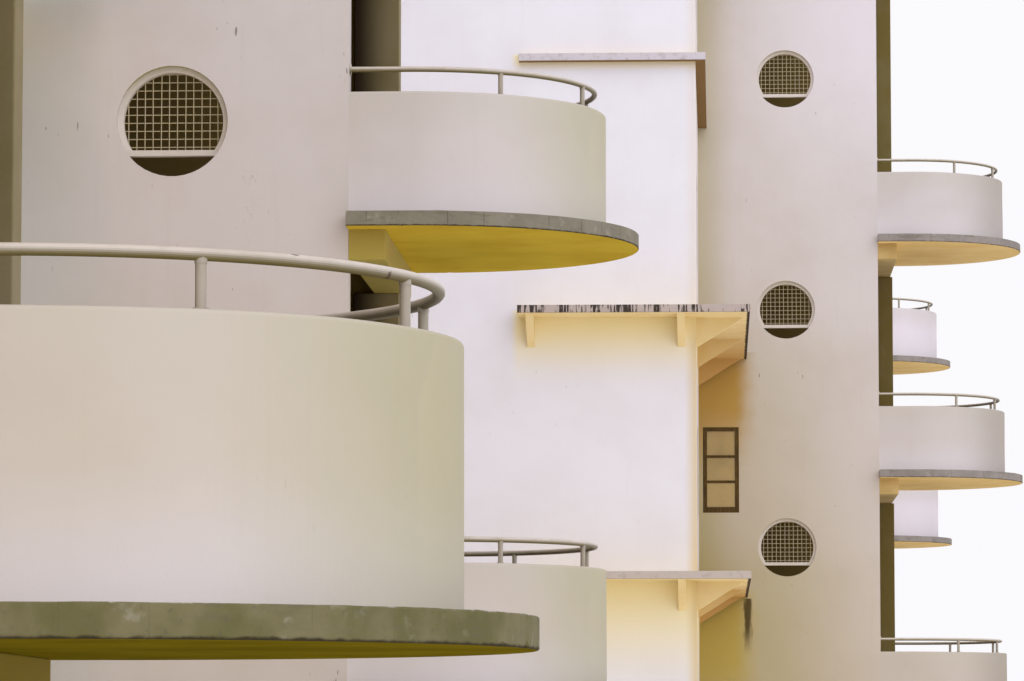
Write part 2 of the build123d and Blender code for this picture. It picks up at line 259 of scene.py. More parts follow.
@dataclass
class Coating:
    """Builds one material's node tree, coat over coat.

    Attributes:
        name: Name of the material, after the real one.
        colour: Colour reached so far: an sRGB hex value at first, then a socket.
    """

    name: str
    colour: str | Socket
    material: bpy.types.Material = field(init=False)
    tree: bpy.types.NodeTree = field(init=False)
    shader: bpy.types.Node = field(init=False)

    def __post_init__(self) -> None:
        """Start an empty tree with a shader and an output."""
        self.material = bpy.data.materials.new(self.name)
        self.material.use_nodes = True
        self.tree = self.material.node_tree
        self.tree.nodes.clear()
        self.shader = add_node(self.tree, "ShaderNodeBsdfPrincipled")
        add_node(self.tree, "ShaderNodeOutputMaterial", {"Surface": self.shader.outputs["BSDF"]})

    def reckon(self, value: Socket, *sums: tuple[str, float | Socket]) -> Socket:
        """Carry a number through sums, one after the other.

        Args:
            value: The number.
            *sums: Blender's own name of each sum, and its other number.

        Returns:
            What comes out.
        """
        for operation, other in sums:
            node = add_node(self.tree, "ShaderNodeMath", {0: value, 1: other}, operation=operation)
            value = node.outputs["Value"]
        return value

    def read(self, source: Source) -> Socket:
        """Read a source at each place of the surface.

        Args:
            source: What to read.

        Returns:
            The reading, which is in metres for a place or a distance.
        """
        if isinstance(source, Socket):
            return source
        if isinstance(source, Reading):
            kind, output, axis = source.value
            inputs = {"Vector": add_node(self.tree, kind).outputs[output]}
            return add_node(self.tree, "ShaderNodeSeparateXYZ", inputs).outputs[axis]
        if isinstance(source, Bays):
            sums = (("DIVIDE", source.pitch * MM), ("FRACT", 0.0), ("SUBTRACT", 0.5), ("ABSOLUTE", 0.0))
            return self.reckon(self.read(source.axis), *sums)
        place = add_node(self.tree, "ShaderNodeTexCoord").outputs["Object"]
        if isinstance(source, Away):
            inputs = {0: place, 1: tuple(value * MM for value in source.point)}
            return add_node(self.tree, "ShaderNodeVectorMath", inputs, operation="DISTANCE").outputs["Value"]
        if isinstance(source, Cells):
            inputs = {0: place, 1: self.read(source.wander)}
            moved = add_node(self.tree, "ShaderNodeVectorMath", inputs, operation="ADD").outputs["Vector"]
            inputs = {"Vector": moved, "Scale": 1.0 / (source.pitch * MM)}
            node = add_node(self.tree, "ShaderNodeTexVoronoi", inputs, feature="DISTANCE_TO_EDGE")
            return node.outputs["Distance"]
        inputs = {0: place, 1: source.stretch}
        stretched = add_node(self.tree, "ShaderNodeVectorMath", inputs, operation="MULTIPLY")
        inputs = {
            "Vector": stretched.outputs["Vector"],
            "Scale": 1.0 / (source.size * MM),
            "Detail": source.detail,
            "Roughness": source.roughness,
        }
        return add_node(self.tree, "ShaderNodeTexNoise", inputs).outputs["Fac"]

    def share(self, fade: Fade) -> Socket:
        """Work out a fade at each place of the surface.

        Args:
            fade: The fade.

        Returns:
            Its share.
        """
        value = self.read(fade.source)
        if fade.about is not None:
            value = self.reckon(value, ("SUBTRACT", fade.about * fade.unit), ("ABSOLUTE", 0.0))
        for grain, reach in fade.ragged:
            shift = self.reckon(self.read(grain), ("MULTIPLY", reach * MM))
            value = self.reckon(value, ("ADD", shift))
        inputs = {
            "Value": value,
            "From Min": fade.start * fade.unit,
            "From Max": fade.end * fade.unit,
            "To Min": fade.low,
            "To Max": fade.high,
        }
        node = add_node(self.tree, "ShaderNodeMapRange", inputs, interpolation_type="SMOOTHSTEP")
        return node.outputs["Result"]

    def lay(self, colour: str, *fades: Fade) -> None:
        """Lay a coat over what is there.

        Args:
            colour: sRGB hex value of the coat.
            *fades: Shares of the coat, which are multiplied.
        """
        share, *others = (self.share(fade) for fade in fades)
        share = self.reckon(share, *(("MULTIPLY", other) for other in others))
        base = srgb_to_linear(self.colour) if isinstance(self.colour, str) else self.colour
        inputs = {0: share, 6: base, 7: srgb_to_linear(colour)}
        self.colour = add_node(self.tree, "ShaderNodeMix", inputs, data_type="RGBA").outputs[2]

    def finish(self, *reliefs: tuple[Grain, float], **values: float) -> bpy.types.Material:
        """Give the shader its colour, relief and plain sockets.

        Args:
            *reliefs: Grains that stand out of the surface, the coarsest last, and their depths.
            **values: Socket name with underscores for spaces, to its number.

        Returns:
            The finished material.
        """
        if isinstance(self.colour, str):
            self.shader.inputs["Base Color"].default_value = srgb_to_linear(self.colour)
        else:
            self.tree.links.new(self.colour, self.shader.inputs["Base Color"])
        under: dict[str | int, object] = {}
        for grain, depth in reliefs:
            inputs = {"Height": self.read(grain), "Distance": depth * MM, "Strength": 1.0, **under}
            under = {"Normal": add_node(self.tree, "ShaderNodeBump", inputs).outputs["Normal"]}
        for normal in under.values():
            self.tree.links.new(normal, self.shader.inputs["Normal"])
        for name, value in values.items():
            self.shader.inputs[name.replace("_", " ")].default_value = value
        return self.material


@dataclass(frozen=True)
class CornerShade:
    """Corner of a wall below a ledge, with painted shade and warm bounce light in it.

    Attributes:
        level: Level of the ledge.
        colour: Colour of the painted shade and bounce light.
        start: Drop below the ledge where it starts to fade.
        end: Drop where it ends.
    """

    level: float
    colour: str
    start: float
    end: float


@dataclass(frozen=True)
class MasonryPaint:
    """Matt masonry paint rolled on cement render: chalky, faintly uneven, with scuffs and rain streaks.

    Attributes:
        name: Name of the material.
        colour: Fresh paint.
        shade: Paint where it has dulled.
        mottle: Share of the dulled patches, from 0 to 1.
        scuffs: Share of small dark marks, from 0 to 1.
        darker_below: Share of a darker, warmer tone low on the wall that fades out upwards, from 0 to 1.
        bounce_levels: Levels of the slabs above which painted bounce light brightens a parapet's foot and
            painted shade darkens its top.
        flank_reflection: Share of the painted reflection on faces that look across the block, from 0 to 1.
        reflected_colour: Colour of that painted reflection.
        cool_shade_from: Place across the block of the corner beside which painted cool shade falls, or None.
        sky_lit_top: Share of the painted sky light that pales the top of the walls on their open side, from 0
            to 1.
        glows: Levels of the ledges whose warm light tints the wall below them, and how far down.
        glow: That tint.
        glow_from: Least place across the block where that tint shows.
        yellow_corner: Place across the block of an outer corner with a yellow strip along it, or 0.
        corner_shades: Painted shade and warm bounce light in the corners below the ledges, the lowest last.
        corner: Place across the block of those corners.
        inner: Painted shade on the faces that look into the stair hall, which makes it read dark.
        centre_line: Place along the block that the inner faces look towards.
        patch_size: Size of the dulled patches.
        streak_size: Width of the rain streaks.
        crack_pitch: Distance between hairline cracks.
        sand_size: Sand in the render, about 1 mm and drawn coarser so that it shows.
        trowel_size: Size of the hollows that the trowel left.
    """

    name: str
    colour: str
    shade: str
    mottle: float = 0.55
    scuffs: float = 0.5
    darker_below: float = 0.0
    bounce_levels: tuple[float, ...] = ()
    flank_reflection: float = 0.0
    reflected_colour: str = "#ADAB74"
    cool_shade_from: float | None = None
    sky_lit_top: float = 0.0
    glows: tuple[tuple[float, float], ...] = ()
    glow: str = "#FFF2BC"
    glow_from: float = -2000.0
    yellow_corner: float = 0.0
    corner_shades: tuple[CornerShade, ...] = ()
    corner: float = 0.0
    inner: str = ""
    centre_line: float = 0.0
    patch_size: float = 95.0
    streak_size: float = 9.0
    crack_pitch: float = 160.0
    sand_size: float = 1.3
    trowel_size: float = 34.0

    def build(self) -> bpy.types.Material:
        """Make the material.

        Returns:
            The finished material.
        """
        paint = Coating(self.name, self.colour)
        self.weather(paint)
        self.paint_light(paint)
        self.warm(paint)
        if self.corner_shades:
            self.shade_far_corner(paint)
        if self.inner:
            self.shade_hall(paint)
        reliefs = ((Grain(self.sand_size, 2.0), 0.05), (Grain(self.trowel_size, 2.0), 0.6))
        return paint.finish(*reliefs, Roughness=0.86, Specular_IOR_Level=0.3)

    def weather(self, paint: Coating) -> None:
        """Lay dull patches, rain streaks, a darker, warmer tone low down, scuffs and hairline cracks.

        Args:
            paint: Material in the making.
        """
        paint.lay(self.shade, Fade(Grain(self.patch_size, 4.0), 0.36, 0.7, high=self.mottle))
        # Rain leaves soft streaks that run down the wall
        paint.lay(self.shade, Fade(Grain(self.streak_size, stretch=(1.0, 1.0, 0.06)), 0.56, 0.8, high=0.28))
        # Darker and warmer towards the bottom of the wall
        if self.darker_below:
            paint.lay(Wear.LOW_WARM_TONE, Fade(Reading.UP, 120.0, 900.0, self.darker_below, 0.0))
        # Knocks and scratches are small upright grey-brown marks, few and far between
        marks = Fade(Grain(3.4, 1.0, (1.0, 1.0, 0.3)), 0.75, 0.79)
        paint.lay(Wear.SCUFF, marks, Fade(Grain(90.0), 0.5, 0.62, high=self.scuffs))
        # Hairline cracks show only here and there
        cracks = Fade(Cells(self.crack_pitch, Grain(25.0)), 0.0, 0.0035, 1.0, 0.0)
        paint.lay(Wear.HAIRLINE_CRACK, cracks, Fade(Grain(120.0), 0.56, 0.64, high=0.3 * self.scuffs))

    def paint_light(self, paint: Coating) -> None:
        """Lay painted light and shade: bounce light above slabs, reflections on flanks, cool corner shade, a
        sky-lit top.

        Args:
            paint: Material in the making.
        """
        for level in self.bounce_levels:
            # Painted bounce light just above the slab, and painted shade towards the parapet's top
            bounce_light = Fade(Reading.UP, level, level + 50.0, 0.6, 0.0)
            paint.lay(Wear.PAINTED_BOUNCE_LIGHT, bounce_light, beyond(Reading.UP, level - 1.0))
            rim = Fade(Reading.UP, level + 45.0, level + 90.0, high=0.4)
            paint.lay(Wear.PAINTED_TOP_SHADE, rim, within(Reading.UP, level + 100.0))
        # Painted reflection on the faces that look across the block
        if self.flank_reflection:
            paint.lay(self.reflected_colour, Fade(Reading.FACING_ACROSS, 0.4, 1.0, high=self.flank_reflection))
        # Painted cool shade by the corner where the tower meets the front wall
        if self.cool_shade_from is not None:
            paint.lay(Wear.PAINTED_COOL_SHADE, Fade(Reading.ACROSS, self.cool_shade_from, self.cool_shade_from + 110.0, 0.35, 0.0))
        # Painted sky light pales the top of the walls on the side away from the corner
        if self.sky_lit_top:
            open_side = Fade(Reading.ACROSS, self.corner, self.corner + 170.0)
            paint.lay(Wear.PAINTED_SKYLIGHT, open_side, Fade(Reading.UP, 850.0, 1180.0, high=self.sky_lit_top))

    def warm(self, paint: Coating) -> None:
        """Lay the painted warm bounce light below the ledges, and a yellow strip along the outer corner.

        Args:
            paint: Material in the making.
        """
        under = Fade(Reading.ACROSS, self.glow_from - 12.0, self.glow_from)
        for level, reach in self.glows:
            glow = Fade(Reading.UP, level - reach, level - 4.0, high=0.95)
            paint.lay(self.glow, glow, within(Reading.UP, level), under)
        if self.yellow_corner:
            # A yellow strip along the outer corner, fainter above 720 mm
            strip = Fade(Reading.ACROSS, self.yellow_corner - 17.0, self.yellow_corner, high=0.7)
            paint.lay(Wear.CORNER_YELLOW, strip, Fade(Reading.UP, 650.0, 720.0, 1.0, 0.3))

    def shade_far_corner(self, paint: Coating) -> None:
        """Lay painted shade and warm bounce light by the corner with the front wall, more low down and under
        the ledges, and algae.

        Args:
            paint: Material in the making.
        """
        # Painted shade from the corner with the front wall: more of it low down, less above the second ledge
        aside = Fade(Reading.ACROSS, self.corner + 75.0, self.corner + 290.0, 1.0, 0.0)
        low, less_above_ledge = Fade(Reading.UP, 370.0, 460.0, 0.5, 0.3), Fade(Reading.UP, 690.0, 790.0, 1.0, 0.3)
        paint.lay(Wear.PAINTED_CORNER_SHADE, aside, low, less_above_ledge)
        paint.lay(Wear.PAINTED_CORNER_SHADE, Fade(Reading.ACROSS, self.corner, self.corner + 60.0, 0.45, 0.0))
        # Painted shade and warm bounce light in the nook below each ledge
        for nook in self.corner_shades:
            border = Grain(18.0)
            wide = Fade(
                Reading.ACROSS, self.corner + 56.0, self.corner + 96.0, 1.0, 0.0, ragged=((border, 16.0),)
            )
            deep = Fade(Reading.UP, nook.level - nook.end, nook.level - nook.start, ragged=((border, -16.0),))
            paint.lay(nook.colour, wide, deep, within(Reading.UP, nook.level))
        # Algae runs down the wall from the lowest ledge's corner
        level = self.corner_shades[-1].level
        runs = ((Grain(5.0, stretch=(1.0, 1.0, 0.2)), 12.0),)
        beside = Fade(Reading.ACROSS, 8.0, 14.0, 0.9, 0.0, about=self.corner + 68.0, ragged=runs)
        fall = Fade(Reading.UP, level - 95.0, level - 50.0)
        paint.lay(Wear.WALL_ALGAE, beside, fall, within(Reading.UP, level - 12.0))

    def shade_hall(self, paint: Coating) -> None:
        """Lay painted shade: olive on faces that look down, such as the tops of the round holes, and dark on
        the hall's inner faces.

        Args:
            paint: Material in the making.
        """
        # Painted shade: olive where faces look down, dark on the stair hall's inner faces
        paint.lay(Wear.SHADED_OLIVE, Fade(Reading.FACING_UP, -0.8, -0.35, 0.8, 0.0))
        near_side = (within(Reading.ALONG, self.centre_line - 20.0), beyond(Reading.FACING_ALONG, 0.5))
        far_side = (beyond(Reading.ALONG, self.centre_line + 20.0), within(Reading.FACING_ALONG, -0.5))
        for faces_in in (near_side, far_side):
            paint.lay(self.inner, *faces_in)


@dataclass(frozen=True)
class WeatheredEdge:
    """Bare cast concrete at a slab's edge: grey, greened by rain, with board joints and a dark drip line.

    Attributes:
        name: Name of the material.
        colour: Dry concrete.
        growth: Concrete with algae.
        level: Height of the slab's top.
        thickness: Thickness of the slab.
        paint_lap: How far the wall's paint laps down over the edge.
        paint: Colour of that paint.
        joint_pitch: Distance between the joints that the formwork left.
        joints: Strength of those joints, from 0 to 1.
    """

    name: str
    colour: str
    growth: str
    level: float
    thickness: float
    paint_lap: float = 0.3
    paint: str = "#E6E0DE"
    joint_pitch: float = 28.0
    joints: float = 0.85

    def build(self) -> bpy.types.Material:
        """Make the material.

        Returns:
            The finished material.
        """
        concrete = Coating(self.name, self.colour)
        pores = Grain(2.4)
        concrete.lay(self.growth, Fade(Grain(26.0, 5.0), 0.36, 0.66))
        concrete.lay(Wear.PORE, Fade(pores, 0.58, 0.78, high=0.5))
        concrete.lay(Wear.PALE_LIME, Fade(Grain(11.0, 4.0), 0.6, 0.75, high=0.35))
        concrete.lay(Wear.RAIN_BAND, Fade(Grain(5.0, 4.0, (0.25, 0.25, 1.0)), 0.52, 0.72, high=0.55))
        self.mark_joints(concrete)
        foot = self.level - self.thickness
        drips: Ragged = ((Grain(5.0, 4.0), -2.2),)
        concrete.lay(Wear.DRIP_LINE, Fade(Reading.UP, foot - 0.9, foot + 0.3, 0.9, 0.0, ragged=drips))
        lap = self.level - self.paint_lap
        drips += ((Grain(9.0, 4.0, (1.0, 1.0, 0.5)), -2.0),)
        concrete.lay(self.paint, Fade(Reading.UP, lap - 1.4, lap, ragged=drips))
        return concrete.finish((pores, 0.25), Roughness=0.9, Specular_IOR_Level=0.25)

    def mark_joints(self, concrete: Coating) -> None:
        """Lay one board joint to a pitch, whose place and reach down the edge go by chance.

        Args:
            concrete: Material in the making.
        """
        tree = concrete.tree
        run = add_node(tree, "ShaderNodeAttribute", attribute_name="edge_run").outputs["Fac"]
        step = concrete.reckon(run, ("DIVIDE", self.joint_pitch * MM))
        board = {"W": concrete.reckon(step, ("FLOOR", 0.0))}
        luck = add_node(tree, "ShaderNodeTexWhiteNoise", board, noise_dimensions="1D").outputs["Value"]
        place = concrete.reckon(luck, ("MULTIPLY", 0.4), ("ADD", 0.3))
        from_joint = concrete.reckon(step, ("FRACT", 0.0), ("SUBTRACT", place), ("ABSOLUTE", 0.0))
        height = concrete.read(Reading.UP)
        reach = concrete.reckon(luck, ("MULTIPLY", 1.3 * self.thickness * MM))
        above_foot = concrete.reckon(reach, ("ADD", height), ("SUBTRACT", self.level * MM))
        joint = Fade(from_joint, 0.0, 0.014, self.joints, 0.0)
        concrete.lay(Wear.BOARD_JOINT, joint, Fade(above_foot, 0.0, SHARP * MM))


@dataclass(frozen=True)
class SoffitPaint:
    """Yellow distemper brushed on a slab's underside: matt, with faint bands and damp patches.

    Attributes:
        name: Name of the material.
        colour: Clean paint.
        damp: Paint where damp has darkened it.
    """

    name: str
    colour: str
    damp: str

    def build(self) -> bpy.types.Material:
        """Make the material.

        Returns:
            The finished material.
        """
        paint = Coating(self.name, self.colour)
        paint.lay(self.damp, Fade(Grain(60.0, 4.0), 0.35, 0.7, high=0.8))
        paint.lay(self.damp, Fade(Grain(12.0, stretch=(0.25, 1.0, 1.0)), 0.55, 0.8, high=0.3))
        return paint.finish((Grain(2.0), 0.08), Roughness=1.0, Specular_IOR_Level=0.0)


@dataclass(frozen=True)
class PaintedConcrete:
    """Painted concrete of ledges, lintels, piers and floors, in one colour or one for each range.

    Attributes:
        name: Name of the material.
        colour: Paint on the far range, or everywhere.
        shade: Dulled paint.
        near_colour: Paint on the near range, if it differs.
        low_shade_colour: Painted shade on the near range's lowest ones, if it differs.
        step_line: Place along the block where the far range starts.
        shaded_backs: Places across the block where painted shade fades out, from the back towards the front.
        ledge_shade_from: Place along the block from which painted shade deepens on the ledges, or 0.
        ledge_shade_over: Distance over which it deepens.
        brown_underside_level: Top of the shallow ledge whose underside is brown, if any.
        drip_lines: Places across the block of the ledges' outer edges, with black grime below them.
        edges: Tops of the ledges whose outward edges are bare, and the colours of those edges.
        stained_level: Top of the ledge that has run-off stains, if any.
        ledge_thickness: Thickness of the ledges.
    """

    name: str
    colour: str
    shade: str
    near_colour: str = ""
    low_shade_colour: str = ""
    step_line: float = 0.0
    shaded_backs: tuple[tuple[float, float], ...] = ()
    ledge_shade_from: float = 0.0
    ledge_shade_over: float = 600.0
    brown_underside_level: float = 0.0
    drip_lines: tuple[float, ...] = ()
    edges: tuple[tuple[float, str], ...] = ()
    stained_level: float = 0.0
    ledge_thickness: float = 10.0

    def build(self) -> bpy.types.Material:
        """Make the material.

        Returns:
            The finished material.
        """
        paint = Coating(self.name, self.near_colour or self.colour)
        if self.near_colour:
            paint.lay(self.colour, beyond(Reading.ALONG, self.step_line))
        paint.lay(self.shade, Fade(Grain(50.0, 5.0), 0.4, 0.7, high=0.7))
        # Painted shade on the near range's lowest ones
        if self.low_shade_colour:
            low = Fade(Reading.UP, 250.0, 400.0, 1.0, 0.0)
            paint.lay(self.low_shade_colour, low, within(Reading.ALONG, self.step_line))
        # Painted shade on the piers, full inside a tower's front edge and gone just outside it
        for back, front in self.shaded_backs:
            pier_shade = Fade(Reading.ACROSS, back, front, 1.0, 0.0)
            paint.lay(Wear.PAINTED_PIER_SHADE, pier_shade, within(Reading.ACROSS, 100.0, about=back))
        # Painted shade, deeper on the ledges farther along the block
        if self.ledge_shade_from:
            farther_shade = Fade(Reading.ALONG, self.ledge_shade_from, self.ledge_shade_from + self.ledge_shade_over, high=0.85)
            paint.lay(Wear.PAINTED_LEDGE_SHADE, farther_shade)
        down = within(Reading.FACING_UP, -0.5)
        if self.brown_underside_level:
            here = within(Reading.UP, 2 * self.ledge_thickness, about=self.brown_underside_level)
            paint.lay(Wear.BROWN_UNDERSIDE, here, down)
        for line in self.drip_lines:
            drips = ((Grain(12.0, 4.0), 4.0),)
            grime = Fade(Reading.ACROSS, 3.5, 4.8, 1.0, 0.0, about=line - 1.6, ragged=drips)
            paint.lay(Wear.LEDGE_GRIME, grime, down)
        for level, colour in self.edges:
            self.bare_edge(paint, level, colour)
        return paint.finish((Grain(1.8), 0.1), Roughness=0.84, Specular_IOR_Level=0.3)

    def bare_edge(self, paint: Coating, level: float, colour: str) -> None:
        """Lay bare concrete on a ledge's outward edge, with a darker lip and perhaps run-off.

        Args:
            paint: Material in the making.
            level: Top of the ledge.
            colour: Colour of its edge.
        """
        foot = level - self.ledge_thickness
        upright = within(Reading.FACING_UP, 0.6, about=0.0)
        here = (beyond(Reading.UP, foot), within(Reading.UP, level + 1.0), upright)
        paint.lay(colour, *here)
        paint.lay(Wear.WORN_EDGE, Fade(Grain(7.0, 4.0), 0.5, 0.75, high=0.5), *here)
        if level == self.stained_level:
            paint.lay(Wear.RUN_OFF, self.run_off(paint), *here)
        paint.lay(Wear.DARK_LIP, Fade(Reading.UP, foot, foot + 1.2, 0.8, 0.0), *here)

    def run_off(self, paint: Coating) -> Fade:
        """Work out the black upright streaks that water from a ledge's top leaves, in groups.

        Args:
            paint: Material in the making.

        Returns:
            Their share; there are fewer towards the front, and more on edges that face it.
        """
        streaks = paint.read(Grain(2.6, stretch=(1.0, 1.0, 0.1)))
        groups = Fade(Grain(34.0, 2.0), 0.4, 0.58, high=0.17)
        outer = Fade(Reading.ACROSS, 300.0, 500.0, high=-0.1)
        front = Fade(Reading.FACING_ACROSS, -1.0, 1.0, -0.16, 0.16)
        for fade in (groups, outer, front):
            streaks = paint.reckon(streaks, ("ADD", paint.share(fade)))
        return Fade(streaks, 0.55, 0.64, high=0.94)


@dataclass(frozen=True)
class EnamelledSteel:
    """Gloss enamel on steel pipe: cream-grey, dulled outdoors, with rust blooming through in spots.

    Attributes:
        name: Name of the material.
        colour: Enamel.
        rust: Share of rust spots, from 0 to 1.
        grime: Share of the olive darkening on the undersides, painted shade with some grime, from 0 to 1.
        chips: Places where the enamel has chipped off down to rust.
    """

    name: str
    colour: str
    rust: float = 0.8
    grime: float = 0.0
    chips: tuple[Point3, ...] = ()

    def build(self) -> bpy.types.Material:
        """Make the material.

        Returns:
            The finished material.
        """
        enamel = Coating(self.name, self.colour)
        enamel.lay(Wear.DULLED_ENAMEL, Fade(Grain(18.0, 4.0), 0.4, 0.7, high=0.4))
        # Painted shade darkens the underside to olive, with some grime as well
        enamel.lay(Wear.OLIVE_GRIME_AND_SHADE, Fade(Reading.FACING_UP, -0.75, 0.75, self.grime, 0.0))
        enamel.lay(Wear.RUST_BLOOM, Fade(Grain(3.6, roughness=0.6), 0.7, 0.74, high=self.rust))
        for chip in self.chips:
            border = ((Grain(2.0), 3.0),)
            enamel.lay(Wear.CHIPPED_TO_RUST, Fade(Away(chip), 2.8, 3.4, 1.0, 0.0, ragged=border))
        return enamel.finish((Grain(5.0, 2.0), 0.12), Roughness=0.42, Specular_IOR_Level=0.5)


@dataclass(frozen=True)
class StainedTimber:
    """Dark oil paint on hardwood window frames: brown, with brush grain along the wood and a low sheen."""

    name: str = "dark_painted_hardwood"
    colour: str = "#3E2D0A"
    worn: str = "#5A4212"

    def build(self) -> bpy.types.Material:
        """Make the material.

        Returns:
            The finished material.
        """
        timber = Coating(self.name, self.colour)
        grain = Grain(1.6, stretch=(1.0, 1.0, 0.12))
        timber.lay(self.worn, Fade(grain, 0.4, 0.7))
        return timber.finish((grain, 0.1), Roughness=0.6, Specular_IOR_Level=0.2)


@dataclass(frozen=True)
class SheetGlass:
    """Drawn sheet glass, slightly dusty, so that rooms behind it read dark and soft."""

    name: str = "drawn_sheet_glass"
    colour: str = "#A9AEA4"
    dusty: str = "#8F9186"
    transmission: float = 0.85

    def build(self) -> bpy.types.Material:
        """Make the material.

        Returns:
            The finished material.
        """
        glass = Coating(self.name, self.colour)
        glass.lay(self.dusty, Fade(Grain(40.0, 4.0), 0.35, 0.75))
        waves = (Grain(60.0, 1.0), 0.15)
        return glass.finish(waves, Roughness=0.06, IOR=1.52, Transmission_Weight=self.transmission)


@dataclass(frozen=True)
class RoofScreed:
    """Cement screed on the flat roofs: grey, laid in bays of two metres, with ponding stains."""

    name: str = "roof_screed"
    colour: str = "#A5A199"
    stain: str = "#7F7B72"
    bay: float = 200.0

    def build(self) -> bpy.types.Material:
        """Make the material.

        Returns:
            The finished material.
        """
        screed = Coating(self.name, self.colour)
        screed.lay(self.stain, Fade(Grain(140.0, 5.0), 0.4, 0.7, high=0.6))
        for axis in (Reading.ACROSS, Reading.ALONG):
            screed.lay(Wear.BAY_JOINT, Fade(Bays(axis, self.bay), 0.0, 0.012, 0.6, 0.0))
        return screed.finish((Grain(2.2), 0.2), Roughness=0.92, Specular_IOR_Level=0.2)


@dataclass
class MeshParts:
    """Vertices and faces of one piece, gathered from many small shapes.

    Attributes:
        points: Corners, in metres.
        faces: Corner numbers of each face.
        finishes: Material number of each face.
        runs: Distance along an edge at each corner, in metres, or 0.
    """

    points: list[Point3] = field(default_factory=list)
    faces: list[tuple[int, ...]] = field(default_factory=list)
    finishes: list[int] = field(default_factory=list)
    runs: list[float] = field(default_factory=list)

    def add(
        self,
        points: Iterable[Sequence[float]],
        faces: Iterable[Sequence[int]],
        finishes: int | Sequence[int] = 0,
        runs: Sequence[float] | None = None,
    ) -> None:
        """Add one shape, with its corners in millimetres.

        Args:
            points: Corners of the shape.
            faces: Corner numbers within this shape.
            finishes: One material number for the shape, or one for each face.
            runs: Distance along an edge at each corner, in millimetres.
        """
        first = len(self.points)
        new_points = [(x * MM, y * MM, z * MM) for x, y, z in points]
        self.points += new_points
        self.runs += [run * MM for run in runs] if runs else [0.0] * len(new_points)
        new_faces = [tuple(first + i for i in face) for face in faces]
        self.faces += new_faces
        self.finishes += [finishes] * len(new_faces) if isinstance(finishes, int) else list(finishes)

    def box(self, low: Sequence[float], high: Sequence[float], finish: int = 0) -> None:
        """Add a box between two corners."""
        xs, ys, zs = zip(low, high)
        self.add([(x, y, z) for x in xs for y in ys for z in zs], BOX_FACES, finish)

    def prism(self, outline: Sequence[Point2], low: float, high: float, finish: int = 0) -> None:
        """Add an upright prism.

        Args:
            outline: Its corners seen from above, counterclockwise.
            low: Level of its underside.
            high: Level of its top.
            finish: Material number.
        """
        count = len(outline)
        points = [(x, y, z) for z in (low, high) for x, y in outline]
        faces = [tuple(reversed(range(count))), tuple(range(count, 2 * count))]
        for i in range(count):
            k = (i + 1) % count
            faces.append((i, k, count + k, count + i))
        self.add(points, faces, finish)

    def sweep(
        self, rings: Sequence[Sequence[Sequence[float]]], finish: int = 0, other_way: bool = False
    ) -> None:
        """Add a section carried along a path, with flat ends.

        Args:
            rings: Corners of the section at each step of the path, as many each time.
            finish: Material number.
            other_way: Whether the section runs the other way round, which turns the faces over.
        """
        size = len(rings[0])
        faces: list[tuple[int, ...]] = []
        for first in range(0, (len(rings) - 1) * size, size):
            following = first + size
            for j in range(size):
                k = (j + 1) % size
                faces.append((first + j, first + k, following + k, following + j))
        last = (len(rings) - 1) * size
        caps = [tuple(reversed(range(size))), tuple(range(last, last + size))]
        if other_way:
            faces = [face[:1] + face[:0:-1] for face in faces]
            caps = [tuple(reversed(cap)) for cap in caps]
        self.add([point for ring in rings for point in ring], faces + caps, finish)

    def tube(self, path: Sequence[Sequence[float]], radius: float, sides: int = 12, finish: int = 0) -> None:
        """Add a round bar along a path, with flat ends.

        Args:
            path: Points that the bar's centre follows.
            radius: Radius of the bar.
            sides: Number of flats round it.
            finish: Material number.
        """
        centres = [Vector(p) for p in path]
        turns = [2 * math.pi * j / sides for j in range(sides)]
        rings = []
        for i, centre in enumerate(centres):
            ahead = centres[min(i + 1, len(centres) - 1)] - centres[max(i - 1, 0)]
            ahead.normalize()
            up = Vector((0, 0, 1)) if abs(ahead.z) < 0.9 else Vector((0, 1, 0))
            side = ahead.cross(up).normalized()
            rise = side.cross(ahead)
            rings.append(
                [
                    centre + side * (radius * math.cos(turn)) + rise * (radius * math.sin(turn))
                    for turn in turns
                ]
            )
        self.sweep(rings, finish)

    def build(
        self,
        name: str,
        materials: Sequence[bpy.types.Material],
        slot: str,
        smooth_angle: float = 32.0,
        arris: float = 0.0,
    ) -> bpy.types.Object:
        """Make the piece's object and let it ride on the block.

        Args:
            name: Name of the piece.
            materials: Materials by number.
            slot: Name of a material slot; not used.
            smooth_angle: Edges sharper than this many degrees stay sharp.
            arris: Width of the worn edges in millimetres, or 0 for sharp ones.

        Returns:
            The new object.
        """
        mesh = bpy.data.meshes.new(name)
        mesh.from_pydata(self.points, [], self.faces)
        for material in materials:
            mesh.materials.append(material)
        mesh.polygons.foreach_set("material_index", self.finishes)
        mesh.polygons.foreach_set("use_smooth", [True] * len(self.faces))
        if any(self.runs):
            attribute = mesh.attributes.new("edge_run", "FLOAT", "POINT")
            attribute.data.foreach_set("value", self.runs)
        mesh.update()
        mesh.set_sharp_from_angle(angle=math.radians(smooth_angle))
        piece = bpy.data.objects.new(name, mesh)
        bpy.context.scene.collection.objects.link(piece)
        if arris > 0:
            wear_edges(piece, arris)
        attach(piece, "root")
        LOG.info("%s: %d faces", name, len(self.faces))
        return piece


def wear_edges(piece: bpy.types.Object, arris: float, segments: int = 2, sharpest: float = 35.0) -> None:
    """Round a piece's edges with a small bevel.

    Args:
        piece: The piece.
        arris: Width of the bevel, in millimetres.
        segments: Flats in the bevel.
        sharpest: Edges that turn by more than this many degrees are rounded.
    """
    bevel = piece.modifiers.new("worn_edges", "BEVEL")
    bevel.width = arris * MM
    bevel.segments = segments
    bevel.limit_method = "ANGLE"
    bevel.angle_limit = math.radians(sharpest)


